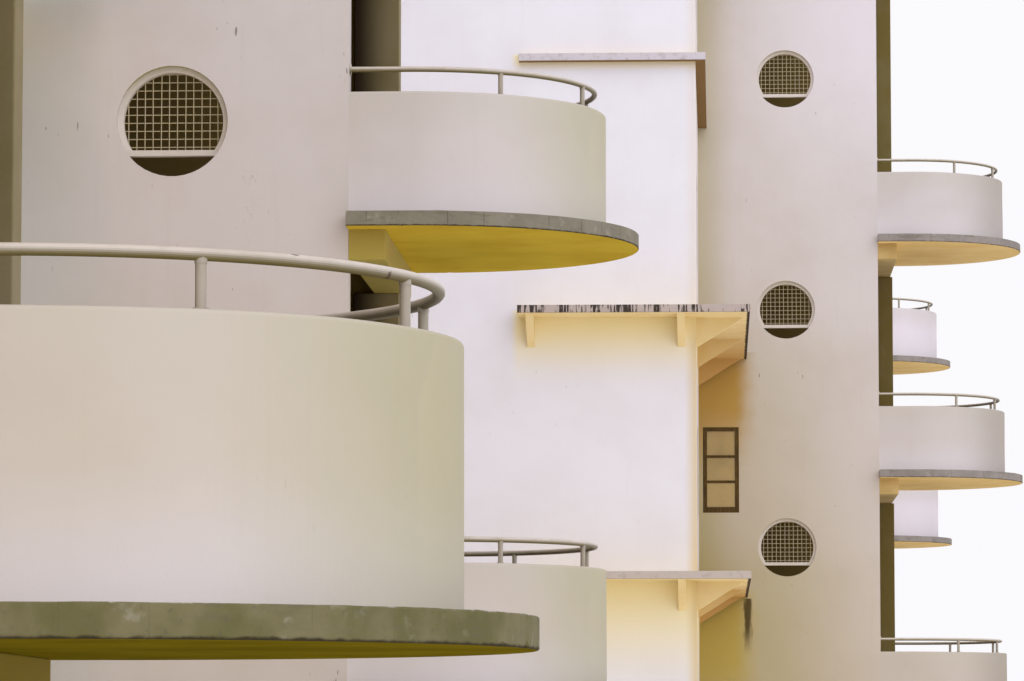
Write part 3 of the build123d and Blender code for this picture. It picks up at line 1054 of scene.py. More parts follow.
def unevenness(place: float, seed: float, size: float) -> float:
    """Smooth noise from -1 to 1 along one distance.

    Args:
        place: Distance in millimetres.
        seed: Number that sets this noise apart from others.
        size: Length of its waves in millimetres.

    Returns:
        The noise value.
    """
    return noise.noise(Vector((place / size, seed * 7.3, seed * 3.1)))


@dataclass(frozen=True)
class Tower:
    """Where one stair tower stands, worked out from the frame, in millimetres.

    Attributes:
        number: Number counted from the near end.
        front_edge: Face of the tower's open front, across the block.
        face: Near side wall's outer face, along the block.
        width: Width of the tower.
        landings: Levels of the half landings.
        portholes: Levels of the round windows.
        in_near_range: Whether it stands in the near range.
    """

    number: int
    front_edge: float
    face: float
    width: float
    landings: tuple[float, ...]
    portholes: tuple[float, ...]
    in_near_range: bool

    @property
    def centre_line(self) -> float:
        """Middle of the tower, along the block."""
        return self.face + self.width / 2


@dataclass(frozen=True)
class Range:
    """Where one range of the block stands, in millimetres.

    Attributes:
        name: near or far.
        front: Outer face of the front wall.
        back: Outer face of the back wall.
        start: First end, along the block.
        end: Last end, along the block.
        towers: Its stair towers.
    """

    name: str
    front: float
    back: float
    start: float
    end: float
    towers: tuple[Tower, ...]

    def stretches(self, inset: float = 0.0) -> list[tuple[float, float]]:
        """List the stretches of the front between the towers.

        Args:
            inset: How far the two outer ends are drawn in.

        Returns:
            Start and end of each, along the block.
        """
        starts = [self.start + inset] + [tower.face + tower.width for tower in self.towers]
        ends = [tower.face for tower in self.towers] + [self.end - inset]
        return list(zip(starts, ends))


@dataclass
class BlockPlan:
    """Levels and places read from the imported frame, in millimetres.

    Attributes:
        porthole_rise_near: Height of the near range's round windows above the landings.
        porthole_rise_far: Height of the far range's round windows above the floors.
        wall_thickness: Thickness of the end walls.
        floors: Levels of the floors.
        ranges: The near and the far range.
        towers: All the stair towers, from the near end.
    """

    porthole_rise_near: float = 70.0
    porthole_rise_far: float = 60.0
    wall_thickness: float = 23.0
    floors: tuple[float, ...] = ()
    ranges: tuple[Range, ...] = ()
    towers: tuple[Tower, ...] = ()

    def corners(self, node: str) -> tuple[Vector, Vector]:
        """Lowest and highest corner of a node, in millimetres."""
        low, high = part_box(node)
        return low / MM, high / MM

    def read_tower(self, number: int, landings: tuple[float, ...], in_near_range: bool) -> Tower:
        """Work out one tower.

        Args:
            number: Its number from the near end.
            landings: Levels of its half landings.
            in_near_range: Whether it stands in the near range.

        Returns:
            The tower.
        """
        low, high = self.corners(f"tower_{number}_walls")
        if in_near_range:
            portholes = tuple(level + self.porthole_rise_near for level in landings)
        else:
            portholes = tuple(level + self.porthole_rise_far for level in self.floors[1:])
        return Tower(number, high.x, low.y, high.y - low.y, landings, portholes, in_near_range)

    def read(self) -> None:
        """Work out the floors, the ranges and the towers."""
        names = ("ground_floor", "first_floor", "second_floor", "third_floor")
        self.floors = tuple(self.corners(f"near_{name}")[1].z for name in names)
        landings = tuple((low + high) / 2 for low, high in zip(self.floors, self.floors[1:]))
        plans = (
            ("near", "near_end_wall", "party_wall", (1, 2)),
            ("far", "step_wall", "far_end_wall", (3, 4)),
        )
        for name, first, last, numbers in plans:
            low, high = self.corners(first)
            end = self.corners(last)[1].y
            towers = tuple(self.read_tower(number, landings, name == "near") for number in numbers)
            self.ranges += (Range(name, high.x, low.x, low.y, end, towers),)
            self.towers += towers


def bay_outline(
    tower: Tower, radius: float, straight: float, spacing: float
) -> list[tuple[Point2, Point2, float]]:
    """Points round a half-round bay, from the tower's near side to its far side.

    Args:
        tower: Tower that carries the bay.
        radius: Radius of the bay.
        straight: Straight stretch before the bend.
        spacing: Distance between points.

    Returns:
        For each point its place, its outward direction and its distance from the start.
    """
    points: list[tuple[Point2, Point2, float]] = []
    steps = max(2, round(straight / spacing))
    arc = math.pi * radius
    arc_steps = max(24, round(arc / spacing))
    round_x = tower.front_edge + straight
    for i in range(steps):
        run = straight * i / steps
        points.append(((tower.front_edge + run, tower.centre_line - radius), (0.0, -1.0), run))
    for i in range(arc_steps + 1):
        turn = math.pi * i / arc_steps - math.pi / 2
        out = (math.cos(turn), math.sin(turn))
        place = (round_x + radius * out[0], tower.centre_line + radius * out[1])
        points.append((place, out, straight + arc * i / arc_steps))
    for i in range(steps):
        run = straight * (i + 1) / steps
        place = (round_x - run, tower.centre_line + radius)
        points.append((place, (0.0, 1.0), straight + arc + run))
    return points


@dataclass
class Parapets:
    """Half-round balcony parapets of plastered concrete, with hand-rounded tops.

    Attributes:
        plan: Places in the block.
        finish: Paint by the tower's number.
        radius: Outer radius of the bay.
        straight: Straight stretch out of the tower.
        thickness: Thickness of the parapet.
        height: Height above the landing.
        arris: Radius of the rounded top edges.
        arris_steps: Flats round each of those edges.
        sway: How far the plaster wanders in and out.
        top_sway: How far the top wanders up and down.
        steady: Length at either end over which the wandering starts.
        steady_foot: Height above the landing over which it starts.
        near_spacing: Distance between points round the near range's bays.
        far_spacing: The same on the far range, which is seen from far off.
    """

    plan: BlockPlan
    finish: dict[int, bpy.types.Material]
    radius: float = 141.0
    straight: float = 44.0
    thickness: float = 14.0
    height: float = 91.0
    arris: float = 1.6
    arris_steps: int = 4
    sway: float = 0.35
    top_sway: float = 0.45
    steady: float = 30.0
    steady_foot: float = 15.0
    near_spacing: float = 3.0
    far_spacing: float = 6.0

    def profile(self, top: float) -> list[Point2]:
        """Work out the section of the parapet.

        Args:
            top: Height of its top at this place.

        Returns:
            Distance inward and height of each corner, from the outer foot to the inner foot.
        """
        turns = [math.pi / 2 * i / self.arris_steps for i in range(self.arris_steps + 1)]
        rounding = [(self.arris * (1 - math.cos(t)), top - self.arris * (1 - math.sin(t))) for t in turns]
        points = [(0.0, top * share) for share in (0.0, 0.25, 0.5, 0.75)] + rounding
        points += [(self.thickness - inward, up) for inward, up in reversed(rounding)]
        return points + [(self.thickness, 0.0)]

    def add_to(self, parts: MeshParts, tower: Tower, level: float) -> None:
        """Add one parapet.

        Args:
            parts: Piece that it joins.
            tower: Tower that carries it.
            level: Level of the landing.
        """
        spacing = self.near_spacing if tower.in_near_range else self.far_spacing
        outline = bay_outline(tower, self.radius, self.straight, spacing)
        total = outline[-1][2]
        seed = level / 100 + tower.number
        rings = []
        for (x, y), (out_x, out_y), run in outline:
            ease = min(1.0, run / self.steady, (total - run) / self.steady)
            top = self.height + self.top_sway * ease * unevenness(run, seed, 70.0)
            ring = []
            for inward, up in self.profile(top):
                foot = min(1.0, up / self.steady_foot)
                shift = inward + self.sway * ease * unevenness(run + up, seed + 5, 60.0) * foot
                ring.append((x - out_x * shift, y - out_y * shift, level + up))
            rings.append(ring)
        parts.sweep(rings, other_way=True)

    def build(self) -> None:
        """Make one piece of parapets for each tower."""
        for tower in self.plan.towers:
            parts = MeshParts()
            for level in tower.landings:
                self.add_to(parts, tower, level)
            name = f"tower_{tower.number}_plastered_parapets"
            piece = parts.build(name, [self.finish[tower.number]], "tower_wall")
            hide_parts(f"tower_{tower.number}_parapets")


class Exposure(Enum):
    """How a slab has weathered: colour and growth of its edge, lap of paint over it, and its joints."""

    # The lowest near slab: a greener edge, and its soffit in painted deep shade
    DAMP_AND_SHADED = ("#7B7556", "#67643F", 0.9, 0.2)
    NEAR = ("#8D8879", "#827D6E", 0.2, 0.85)
    FAR = ("#98918C", "#8B8580", 0.2, 0.85)


@dataclass
class BalconySlabs:
    """Cast balcony slabs with their landings, chipped along the lower edge.

    Attributes:
        plan: Places in the block.
        top: Finish of the tops.
        soffits: Finish of the undersides by exposure.
        radius: Radius of the slab's round edge.
        straight: Straight stretch out of the tower.
        thickness: Thickness of the slab.
        landing: How far the landing reaches into the tower.
        side_wall: Thickness of the tower's side walls.
        arris: Size of the worn edges.
        chip: Depth of the largest chips.
        lump: Height of the lumps on the upper edge.
        top_strip: Width of the strip between the upper edge and the flat top.
        soffit_strip: Width of the strip between the lower edge and the flat underside.
        near_spacing: Distance between points round the near range's slabs.
        far_spacing: The same on the far range, which is seen from far off.
    """

    plan: BlockPlan
    top: bpy.types.Material
    soffits: dict[Exposure, bpy.types.Material]
    radius: float = 166.0
    straight: float = 44.0
    thickness: float = 11.0
    landing: float = 110.0
    side_wall: float = 20.0
    arris: float = 0.5
    chip: float = 2.6
    lump: float = 0.3
    top_strip: float = 3.0
    soffit_strip: float = 8.0
    near_spacing: float = 1.6
    far_spacing: float = 5.0

    def chip_depth(self, run: float, seed: float) -> float:
        """Work out the chips out of the lower edge.

        Args:
            run: Distance along the edge.
            seed: Number that sets this slab apart from others.

        Returns:
            Depth of the chip at this place, mostly none.
        """
        bite = unevenness(run, seed, 9.0) - 0.42 + 0.25 * unevenness(run, seed + 9, 120.0)
        crumbs = max(0.0, unevenness(run, seed + 3, 3.0) - 0.35) * 0.5
        return min(1.0, max(0.0, bite) * 4.0 + crumbs) * self.chip

    def section(self, lump: float, bite: float) -> list[Point2]:
        """Work out the section of the edge.

        Args:
            lump: Height of the lump on the upper edge.
            bite: Depth of the chip out of the lower edge.

        Returns:
            Distance inward and height of each corner, from the top's strip to the soffit's.
        """
        foot = -self.thickness
        return [
            (self.top_strip, 0.0),
            (self.arris, lump),
            (0.0, -self.arris),
            (0.0, foot / 2),
            (0.0, foot + self.arris + bite * 0.8),
            (self.arris * 0.6 + bite * 0.55, foot + self.arris * 0.4 + bite * 0.45),
            (self.arris + bite, foot),
            (self.soffit_strip, foot),
        ]

    def add_to(self, parts: MeshParts, tower: Tower, level: float) -> None:
        """Add one slab: worn edge, top and soffit.

        Args:
            parts: Piece that it joins.
            tower: Tower that carries it.
            level: Level of its top.
        """
        spacing = self.near_spacing if tower.in_near_range else self.far_spacing
        inner = tower.width / 2 - self.side_wall
        back = tower.front_edge - self.landing
        seed = level / 100 + tower.number
        points: list[Point3] = []
        runs: list[float] = []
        rings: list[list[int]] = []
        for (x, y), (out_x, out_y), run in bay_outline(tower, self.radius, self.straight, spacing):
            bite = self.chip_depth(run, seed) if tower.in_near_range else 0.0
            lump = self.lump * max(0.0, unevenness(run, seed + 6, 14.0))
            ring = []
            for inward, up in self.section(lump, bite):
                ring.append(len(points))
                points.append((x - out_x * inward, y - out_y * inward, level + up))
                runs.append(run)
            rings.append(ring)
        faces: list[tuple[int, ...]] = []
        finishes: list[int] = []
        top, edge, soffit = 0, 1, 2
        for ring, following in zip(rings, rings[1:]):
            for j, zone in enumerate((top, edge, edge, edge, edge, edge, soffit)):
                faces.append((ring[j], ring[j + 1], following[j + 1], following[j]))
                finishes.append(zone)
        # The landing's corners close the outline inside the tower
        upper, lower = [], []
        front = tower.front_edge
        for x, aside in ((front, inner), (back, inner), (back, -inner), (front, -inner)):
            for corners, z in ((upper, level), (lower, level - self.thickness)):
                corners.append(len(points))
                points.append((x, tower.centre_line + aside, z))
                runs.append(0.0)
        faces.append(tuple([ring[0] for ring in rings] + upper))
        faces.append(tuple(reversed([ring[-1] for ring in rings] + lower)))
        faces += [(upper[j], lower[j], lower[j + 1], upper[j + 1]) for j in range(3)]
        faces.append(tuple(rings[-1]) + (lower[0], upper[0]))
        faces.append(tuple(reversed(rings[0])) + (upper[3], lower[3]))
        finishes += [top, soffit] + [edge] * 5
        parts.add(points, faces, finishes, runs)

    def build(self) -> None:
        """Make one piece for each slab, since each edge has weathered its own way."""
        for tower in self.plan.towers:
            for number, level in enumerate(tower.landings, 1):
                exposure = Exposure.NEAR if tower.in_near_range else Exposure.FAR
                if tower.number == 1 and number == 1:
                    exposure = Exposure.DAMP_AND_SHADED
                colour, growth, paint_lap, joints = exposure.value
                edge = WeatheredEdge(
                    f"weathered_slab_edge_{tower.number}_{number}",
                    colour=colour,
                    growth=growth,
                    level=level,
                    thickness=self.thickness,
                    paint_lap=paint_lap,
                    joints=joints,
                ).build()
                parts = MeshParts()
                self.add_to(parts, tower, level)
                materials = [self.top, edge, self.soffits[exposure]]
                piece = parts.build(f"tower_{tower.number}_slab_{number}", materials, "slab_concrete", 25.0)
                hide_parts(f"{'near' if tower.in_near_range else 'far'}_balcony_slabs")


@dataclass
class PipeRails:
    """Bent pipe rails on short posts, with weld collars and foot plates.

    Attributes:
        plan: Places in the block.
        finish: Enamel of the pipes.
        radius: Outer radius of the parapet in plan.
        straight: Straight stretch out of the tower.
        inset: From the parapet's outer face to the pipe's centre.
        parapet_height: Height of the parapet above its landing.
        rise: From the parapet's top to the pipe's centre.
        pipe: Radius of the pipe.
        post: Radius of the posts.
        post_foot: How deep the posts stand in the parapet.
        post_angles: Places of the posts round the bend, in degrees from straight out.
        collars: Low and high end of each collar on a post, above the parapet, and its radius to the post's.
        wall_plate: Start and end of the plates at the rail's ends, out from the tower's front.
        plate_flare: Radius of those plates to the pipe's.
        sway: How far the pipe sags and rises.
        near_flats: Flats round the near range's pipes, and the distance between points along them.
        far_flats: The same on the far range, which is seen from far off.
    """

    plan: BlockPlan
    finish: bpy.types.Material
    radius: float = 141.0
    straight: float = 44.0
    inset: float = 8.5
    parapet_height: float = 91.0
    rise: float = 17.5
    pipe: float = 2.05
    post: float = 1.8
    post_foot: float = 1.0
    post_angles: tuple[float, ...] = (-60.0, -20.0, 20.0, 60.0)
    collars: tuple[Point3, ...] = ((14.6, 16.2, 1.12), (-0.6, 0.8, 1.5))
    wall_plate: tuple[float, float] = (0.2, 1.2)
    plate_flare: float = 1.9
    sway: float = 0.25
    near_flats: tuple[int, float] = (20, 3.5)
    far_flats: tuple[int, float] = (12, 8.0)

    def add_to(self, parts: MeshParts, tower: Tower, level: float) -> None:
        """Add one rail with its posts.

        Args:
            parts: Piece that it joins.
            tower: Tower that carries it.
            level: Level of the landing.
        """
        top = level + self.parapet_height
        bend = self.radius - self.inset
        sides, spacing = self.near_flats if tower.in_near_range else self.far_flats
        outline = bay_outline(tower, bend, self.straight, spacing)
        centre = top + self.rise
        path = [(x, y, centre + self.sway * unevenness(run, level, 90.0)) for (x, y), _, run in outline]
        parts.tube(path, self.pipe, sides)
        for x, y, z in (path[0], path[-1]):
            parts.tube([(x + reach, y, z) for reach in self.wall_plate], self.pipe * self.plate_flare, sides)
        for angle in self.post_angles:
            turn = math.radians(angle)
            x = tower.front_edge + self.straight + bend * math.cos(turn)
            y = tower.centre_line + bend * math.sin(turn)
            for low, high, flare in ((-self.post_foot, self.rise, 1.0), *self.collars):
                parts.tube([(x, y, top + low), (x, y, top + high)], self.post * flare, sides)

    def build(self) -> None:
        """Make one piece of rails for each range."""
        for block_range in self.plan.ranges:
            parts = MeshParts()
            for tower in block_range.towers:
                for level in tower.landings:
                    self.add_to(parts, tower, level)
            name = block_range.name
            piece = parts.build(f"{name}_pipe_rails", [self.finish], "painted_steel")
            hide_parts(f"{name}_balcony_rails")


@dataclass
class RoundWindows:
    """Round windows: a plaster rim set back in the wall, a bar, and a welded mesh above it.

    Attributes:
        plan: Places in the block.
        rim_finish: Paint of rim and bar.
        wire_finish: Enamel of the mesh.
        radius: Radius of the hole.
        setback: From the tower's front edge to the hole's centre.
        rim: Width of the rim.
        rim_steps: Flats round the rim.
        soft: Size of the rim's rounded inner edge.
        recess: From the wall's face to the rim.
        depth: Depth of the rim.
        bar_drop: From the hole's centre down to the bar's centre.
        bar_height: Height of the bar.
        mesh_pitch: Distance between the mesh's wires.
        first_wire: From the bar's top up to the first wire across.
        wire: Radius of a wire.
        wire_sides: Flats round a wire.
        rim_hold: How far the wires' ends are cast into the rim.
        bar_hold: How far they are cast into the bar.
        off_centre: How far the upright wires stand beside the hole's middle.
        crossing: Distance between the two layers of wires, to a wire's radius.
        wander: How far an upright wire leans.
    """

    plan: BlockPlan
    rim_finish: bpy.types.Material
    wire_finish: bpy.types.Material
    radius: float = 41.0
    setback: float = 130.0
    rim: float = 4.2
    rim_steps: int = 56
    soft: float = 0.7
    recess: float = 6.0
    depth: float = 8.0
    bar_drop: float = 23.0
    bar_height: float = 4.2
    mesh_pitch: float = 6.0
    first_wire: float = 2.7
    wire: float = 0.36
    wire_sides: int = 6
    rim_hold: float = 0.6
    bar_hold: float = 0.5
    off_centre: float = 0.3
    crossing: float = 1.7
    wander: float = 0.25

    def rim_section(self) -> list[Point2]:
        """Work out the section of the rim.

        Returns:
            Distance inward from the hole's edge, and depth from the wall's face, of each corner.
        """
        return [
            (0.0, self.recess),
            (self.rim - self.soft, self.recess),
            (self.rim - self.soft * 0.3, self.recess + self.soft * 0.3),
            (self.rim, self.recess + self.soft),
            (self.rim, self.recess + self.depth),
            (0.0, self.recess + self.depth),
        ]

    def add_to(self, parts: MeshParts, tower: Tower, level: float) -> None:
        """Add one round window.

        Args:
            parts: Piece that it joins.
            tower: Tower whose near side wall holds it.
            level: Level of the hole's centre.
        """
        x = tower.front_edge - self.setback
        low = -(self.bar_drop + self.bar_height / 2)
        high = low + self.bar_height
        start = math.asin(low / self.radius)
        rings = []
        for i in range(self.rim_steps + 1):
            turn = start + (math.pi - 2 * start) * i / self.rim_steps
            ring = []
            for inward, deep in self.rim_section():
                reach = self.radius - inward
                ring.append((x + reach * math.cos(turn), tower.face + deep, level + reach * math.sin(turn)))
            rings.append(ring)
        parts.sweep(rings)
        # The bar's ends follow the hole, and its face stands just proud of the rim
        near, far = tower.face + self.recess - 0.2, tower.face + self.recess + self.depth
        foot, head = (math.sqrt((self.radius - 0.1) ** 2 - up**2) for up in (low, high))
        outline = [(-foot, low), (foot, low), (head, high), (-head, high)]
        bar = [(x + across, y, level + up) for y in (near, far) for across, up in outline]
        parts.add(bar, [(0, 1, 2, 3), (7, 6, 5, 4), (0, 4, 5, 1), (1, 5, 6, 2), (2, 6, 7, 3), (3, 7, 4, 0)])
        self.add_mesh(parts, tower, level, x, high)

    def add_mesh(self, parts: MeshParts, tower: Tower, level: float, x: float, bar_top: float) -> None:
        """Add the welded mesh between the rim and the bar.

        Args:
            parts: Piece that it joins.
            tower: Tower whose near side wall holds it.
            level: Level of the hole's centre.
            x: Place of that centre, across the block.
            bar_top: Height of the bar's top from the centre.
        """
        inner = self.radius - self.rim + self.rim_hold
        y = tower.face + self.recess + self.depth * 0.5
        count = int(inner // self.mesh_pitch) + 1
        for i in range(-count, count + 1):
            across = (i + 0.5) * self.mesh_pitch - self.off_centre
            if abs(across) < inner:
                top = math.sqrt(inner**2 - across**2)
                low = max(-top, bar_top - self.bar_hold)
                if top > low:
                    lean = self.wander * math.sin(i * 2.3 + level)
                    ends = [(x + across, y, level + low), (x + across + lean, y, level + top)]
                    parts.tube(ends, self.wire, self.wire_sides, 1)
        behind = y + self.wire * self.crossing
        for i in range(2 * count + 1):
            up = bar_top + self.first_wire + i * self.mesh_pitch
            if up < inner:
                half = math.sqrt(inner**2 - up**2)
                ends = [(x - half, behind, level + up), (x + half, behind, level + up)]
                parts.tube(ends, self.wire, self.wire_sides, 1)

    def build(self) -> None:
        """Make one piece of round windows for each tower."""
        for tower in self.plan.towers:
            parts = MeshParts()
            for level in tower.portholes:
                self.add_to(parts, tower, level)
            finishes = [self.rim_finish, self.wire_finish]
            piece = parts.build(f"tower_{tower.number}_round_windows", finishes, "painted_steel")
            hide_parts("porthole_rims")


@dataclass
class CasementWindows:
    """Rows of timber casements in the long walls, four leaves to an opening and three panes to a leaf.

    Attributes:
        plan: Places in the block.
        timber: Finish of frames and leaves.
        glass: Glass of the open leaves; behind the shut ones the wall has its own.
        width: Width of an opening.
        height: Height of an opening.
        sill: From the floor up to the opening.
        pitch: Distance between openings.
        end_margin: Least distance from a wall's end to an opening.
        frame: Width of the fixed frame.
        frame_depth: Depth of the fixed frame.
        leaves: Leaves in an opening.
        panes: Panes in a leaf.
        stile: Width of a leaf's stiles and top rail.
        bottom_rail: Height of a leaf's bottom rail.
        bar: Width of a leaf's glazing bars.
        bar_inset: How much shallower than the leaf they are, on each side.
        leaf_depth: Thickness of a leaf.
        leaf_gap: Clearance between neighbouring leaves.
        pane_lap: How far a pane reaches into the stiles, and short of the leaf's foot and head.
        pane_depth: Thickness of the glass.
        reveal: From the wall's face to the fixed frame.
        shut_proud: How far a shut leaf stands proud of its frame.
        stand_off: How far the hinges carry an open leaf out.
        open_share: Share of the leaves that stand open.
        seed: Start of the random numbers that pick them.
    """

    plan: BlockPlan
    timber: bpy.types.Material
    glass: bpy.types.Material
    width: float = 200.0
    height: float = 120.0
    sill: float = 85.0
    pitch: float = 320.0
    end_margin: float = 55.0
    frame: float = 3.5
    frame_depth: float = 7.0
    leaves: int = 4
    panes: int = 3
    stile: float = 5.4
    bottom_rail: float = 7.29
    bar: float = 3.4
    bar_inset: float = 0.3
    leaf_depth: float = 3.4
    leaf_gap: float = 0.6
    pane_lap: float = 1.0
    pane_depth: float = 0.5
    reveal: float = 1.0
    shut_proud: float = 0.2
    stand_off: float = 8.0
    open_share: float = 0.16
    seed: int = 11

    def centres(self, start: float, end: float) -> list[float]:
        """Space openings in a wall as the wall's own holes are spaced.

        Args:
            start: Start of the wall, along the block.
            end: Its end.

        Returns:
            Middle of each opening.
        """
        clear = end - start - 2 * self.end_margin
        count = max(1, int((clear - self.width) // self.pitch) + 1)
        middle = (start + end) / 2
        return [middle + (i - (count - 1) / 2) * self.pitch for i in range(count)]

    def leaf_bars(self, width: float, glazed: bool) -> list[tuple[Point2, Point2, float, int]]:
        """Boxes that make up a leaf.

        Args:
            width: Width of the leaf.
            glazed: Whether it needs a pane of its own.

        Returns:
            For each box its low and high corner, along the leaf and up, its inset and its material number.
        """
        tall = self.height - 2 * self.frame
        inner = width - self.stile
        boxes = [
            ((0.0, 0.0), (self.stile, tall), 0.0, 0),
            ((inner, 0.0), (width, tall), 0.0, 0),
            ((self.stile, 0.0), (inner, self.bottom_rail), 0.0, 0),
            ((self.stile, tall - self.stile), (inner, tall), 0.0, 0),
        ]
        for i in range(1, self.panes):
            middle = self.bottom_rail + (tall - self.bottom_rail - self.stile) * i / self.panes
            low, high = middle - self.bar / 2, middle + self.bar / 2
            boxes.append(((self.stile, low), (inner, high), self.bar_inset, 0))
        if glazed:
            low_corner = (self.stile - self.pane_lap, self.pane_lap)
            high_corner = (inner + self.pane_lap, tall - self.pane_lap)
            boxes.append((low_corner, high_corner, (self.leaf_depth - self.pane_depth) / 2, 1))
        return boxes

    def add_leaf(
        self, parts: MeshParts, hinge: Point3, width: float, towards: float, out: float, state: LeafState
    ) -> None:
        """Add one leaf that turns about an upright hinge.

        Args:
            parts: Piece that the leaf joins.
            hinge: Foot of the hinge line.
            width: Width of the leaf.
            towards: 1 or -1, the way along the wall that the shut leaf runs from its hinge.
            out: 1 or -1, the way across the block that it opens.
            state: How far it stands open.
        """
        opened = math.radians(state.value)
        along = (out * math.sin(opened), towards * math.cos(opened))
        turned = -1.0 if -along[1] * out > 0 else 1.0
        aside = (-along[1] * turned, along[0] * turned)
        faces = [tuple(reversed(face)) for face in BOX_FACES] if turned < 0 else BOX_FACES
        for (low_w, low_h), (high_w, high_h), inset, finish in self.leaf_bars(width, state is LeafState.WIDE):
            depths = (inset, self.leaf_depth - inset)
            points = [
                (
                    hinge[0] + along[0] * w + aside[0] * d,
                    hinge[1] + along[1] * w + aside[1] * d,
                    hinge[2] + h,
                )
                for w in (low_w, high_w)
                for d in depths
                for h in (low_h, high_h)
            ]
            parts.add(points, faces, finish)

    def add_window(
        self,
        parts: MeshParts,
        face: float,
        centre: float,
        level: float,
        side: Side,
        states: Sequence[LeafState],
    ) -> None:
        """Add the fixed frame with its middle post and the leaves of one opening.

        Args:
            parts: Piece that they join.
            face: Place of the wall's face, across the block.
            centre: Middle of the opening, along the block.
            level: Level of the floor.
            side: Way that the wall faces.
            states: How far each leaf stands open.
        """
        out = float(side.value)
        low_y, high_y = centre - self.width / 2, centre + self.width / 2
        low_z = level + self.sill
        high_z = low_z + self.height
        near_x = face - out * self.reveal
        low_x, high_x = sorted((near_x, near_x - out * self.frame_depth))
        half = self.frame / 2
        for (y_start, y_end), (z_start, z_end) in (
            ((low_y, high_y), (low_z, low_z + self.frame)),
            ((low_y, high_y), (high_z - self.frame, high_z)),
            ((low_y, low_y + self.frame), (low_z, high_z)),
            ((high_y - self.frame, high_y), (low_z, high_z)),
            ((centre - half, centre + half), (low_z, high_z)),
        ):
            parts.box((low_x, y_start, z_start), (high_x, y_end, z_end))
        leaf = (self.width - 2 * self.frame) / self.leaves
        for i, state in enumerate(states):
            towards = 1.0 if i % 2 == 0 else -1.0
            hinge_y = low_y + self.frame + leaf * (i if towards > 0 else i + 1)
            carried = self.shut_proud if state is LeafState.SHUT else self.stand_off
            hinge = (near_x + out * carried, hinge_y, low_z + self.frame)
            self.add_leaf(parts, hinge, leaf - self.leaf_gap, towards, out, state)

    def add_row(
        self,
        parts: MeshParts,
        face: float,
        stretch: tuple[float, float],
        side: Side,
        luck: random.Random,
        by_step: bool = False,
    ) -> None:
        """Add all the windows of one wall, with a few leaves open.

        Args:
            parts: Piece that they join.
            face: Place of the wall's face, across the block.
            stretch: Start and end of the wall, along the block.
            side: Way that the wall faces.
            luck: Random numbers that pick the open leaves.
            by_step: Whether the first column shows round the step, with one known open leaf.
        """
        for storey, level in enumerate(self.plan.floors):
            for column, centre in enumerate(self.centres(*stretch)):
                opened = [luck.random() < self.open_share for _ in range(self.leaves)]
                if by_step and column == 0:
                    opened = [storey == 1 and i == 0 for i in range(self.leaves)]
                states = [LeafState.WIDE if is_open else LeafState.SHUT for is_open in opened]
                self.add_window(parts, face, centre, level, side, states)

    def build(self) -> None:
        """Make one piece of windows for each long wall."""
        luck = random.Random(self.seed)
        materials = [self.timber, self.glass]
        inset = self.plan.wall_thickness
        for block_range in self.plan.ranges:
            for number, stretch in enumerate(block_range.stretches(inset), 1):
                parts = MeshParts()
                by_step = block_range.name == "far" and number == 1
                self.add_row(parts, block_range.front, stretch, Side.FRONT, luck, by_step)
                parts.build(f"{block_range.name}_front_casements_{number}", materials, "painted_steel")
            parts = MeshParts()
            whole = (block_range.start + inset, block_range.end - inset)
            self.add_row(parts, block_range.back, whole, Side.BACK, luck)
            parts.build(f"{block_range.name}_back_casements", materials, "painted_steel")


@dataclass
class Piers:
    """Dark painted piers that stand at the far side of each tower's open front.

    Attributes:
        plan: Places in the block.
        finish: Paint of the piers.
        thickness: Thickness along the block.
        from_far_side: From the tower's far face to the pier.
        reaches: How far each tower's pier stands out of the front edge.
        inward: How far it runs back inside the front edge.
        lintel: Height from a slab's top down to its lintel's underside.
        arris: Width of the worn edges.
    """

    plan: BlockPlan
    finish: bpy.types.Material
    thickness: float = 20.0
    from_far_side: float = 14.0
    reaches: tuple[float, ...] = (17.0, 19.5, 30.0, 30.0)
    inward: float = 16.0
    lintel: float = 33.0
    arris: float = 0.7

    def build(self) -> None:
        """Make one piece with all the piers."""
        parts = MeshParts()
        roof = self.plan.corners("near_roof")[0].z
        for tower, reach in zip(self.plan.towers, self.reaches):
            far = tower.face + tower.width - self.from_far_side
            tops = [level - self.lintel for level in tower.landings[1:]] + [roof]
            for foot, top in zip(tower.landings, tops):
                low = (tower.front_edge - self.inward, far - self.thickness, foot)
                parts.box(low, (tower.front_edge + reach, far, top))
        piece = parts.build("dark_painted_piers", [self.finish], "dark_pier", arris=self.arris)
        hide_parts("tower_piers")


